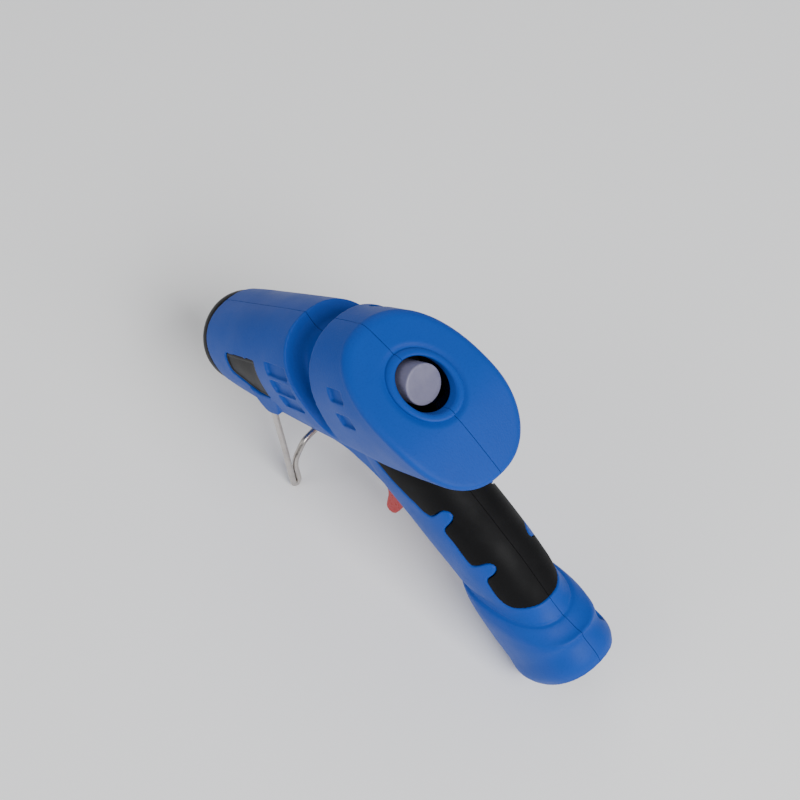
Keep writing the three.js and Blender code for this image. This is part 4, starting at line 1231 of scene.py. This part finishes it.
def brushed_foil():
    """Silver plate, blank but for the grain of its brushing."""
    colour = (0.56, 0.57, 0.58)
    finish = Finish("label_foil", colour, 0.36, 0.9)
    grain = finish.noise(0.3, 4, 0.6, finish.stretched((0.08, 1, 1)))
    finish.mottle(grain, 0.35, 0.7, 0.6, darker(colour, 0.3))
    finish.roughen(grain, 0.28, 0.46)
    finish.put(finish.bump(grain, 0.004), "Normal")
    return finish.material


MATERIALS = {
    "blue_shell": blue_plastic(),
    "soft_grip": soft_grip(),
    "black_plastic": black_plastic(),
    "red_plastic": red_plastic(),
    "stand_wire": drawn_metal("stand_wire", (0.52, 0.49, 0.46), 0.3, (1, 1, 0.06)),
    "bright_steel": drawn_metal("bright_steel", (0.55, 0.56, 0.57), 0.3, (1, 0.1, 1)),
    "brass": drawn_metal("brass", (0.66, 0.45, 0.16), 0.3, (8, 1, 1), 0.006),
    "cast_aluminium": cast_metal(),
    "silicone": silicone_rubber(),
    "ceramic": fired_ceramic(),
    "glue": hot_melt(),
    "lead_sleeving": woven_sleeving(),
    "label_foil": brushed_foil(),
}

# -------- the object


def place(obj, body, slot, *nodes):
    return finished(obj, body, slot, MATERIALS[slot], *nodes)


def build_gun():
    for shell, node in zip(housings(), ("housing_left", "housing_right")):
        place(shell, "gun", "blue_shell", node)
    for pad, node in zip(grips(), ("grip_left", "grip_right")):
        place(pad, "gun", "soft_grip", node)
    place(rating_plate(), "gun", "label_foil", "rating_plate")
    place(badge(1), "gun", "black_plastic", "badge_left")
    place(badge(-1), "gun", "black_plastic", "badge_right")
    place(nose_ring(), "gun", "black_plastic", "nose_collar")
    place(nozzle_tip(), "gun", "brass", "nozzle")
    place(nozzle_boot(), "gun", "silicone", "nozzle_jacket")
    place(cord_gland(), "gun", "black_plastic", "cord_gland")
    for index, at in enumerate(SCREWS, 1):
        place(screw(index, at), "gun", "bright_steel", f"housing_screw_{index}")
    place(trigger_blade(), "trigger", "red_plastic", "trigger")
    place(wire_stand(), "stand", "stand_wire", "wire_stand")
    place(glue_stick(), "stick", "glue", "glue_stick")


def finish_carried_nodes():
    """Gives each CAD node that still shows the finish of its slot."""
    for part in frame["record"]["subparts"]:
        mesh = frame["nodes"][part["node"]].data
        mesh.materials.clear()
        mesh.materials.append(MATERIALS[part["material_slot"]])


# -------- floor, lights and camera


# The floor's reach and thickness are in millimetres, the rest of this section is in metres.
FLOOR_REACH = 6000
FLOOR_THICKNESS = 20

AIM = (0, 0, 0.05)

# Lights: place, width of the square, power.
LIGHTS = {
    "key": ((-0.95, 0.15, 1.0), 0.7, 20),
    "side": ((0.35, 1.0, 0.7), 0.9, 4),
    "rim": ((0.9, -0.7, 0.9), 0.8, 2),
}
SKY_COLOUR = (0.95, 0.97, 1.0, 1)
SKY_STRENGTH = 0.4

CAMERA_PLACE = (-0.1446, 0.1487, 0.4335)
CAMERA_RIGHT = (-0.7185, -0.6956, 0.0)
CAMERA_UP = (0.6011, -0.6210, 0.5029)
CAMERA_LENS = 68.4
CAMERA_SENSOR = 36


def floor():
    finish = Finish("floor", (0.96, 0.96, 0.96), 0.8)
    finish.mottle(finish.noise(60, 3), 0.3, 0.7, 0.2, (0.94, 0.94, 0.94))
    low = (-FLOOR_REACH, -FLOOR_REACH, -FLOOR_THICKNESS)
    sheet = block("floor", low, (FLOOR_REACH, FLOOR_REACH, 0))
    sheet.data.transform(Matrix.Scale(MM, 4))
    sheet.data.materials.append(finish.material)


def area_light(name, at, size, power):
    lamp = bpy.data.lights.new(name, "AREA")
    lamp.shape = "SQUARE"
    lamp.size = size
    lamp.energy = power
    holder = linked(name, lamp)
    holder.location = at
    holder.rotation_euler = (Vector(AIM) - Vector(at)).to_track_quat("-Z", "Y").to_euler()


def studio():
    for name, (at, size, power) in LIGHTS.items():
        area_light(name, at, size, power)
    world = bpy.data.worlds.new("studio")
    bpy.context.scene.world = world
    world.use_nodes = True
    background = world.node_tree.nodes["Background"]
    background.inputs["Color"].default_value = SKY_COLOUR
    background.inputs["Strength"].default_value = SKY_STRENGTH


def camera():
    view = linked("camera", bpy.data.cameras.new("camera"))
    view.data.lens = CAMERA_LENS
    view.data.sensor_width = CAMERA_SENSOR
    view.data.clip_start = 0.01
    right = Vector(CAMERA_RIGHT).normalized()
    up = Vector(CAMERA_UP)
    up = (up - up.dot(right) * right).normalized()
    back = right.cross(up)
    axes = Matrix((right, up, back)).transposed().to_4x4()
    view.matrix_world = Matrix.Translation(CAMERA_PLACE) @ axes
    bpy.context.scene.camera = view


build_gun()
finish_carried_nodes()
floor()
studio()
camera()
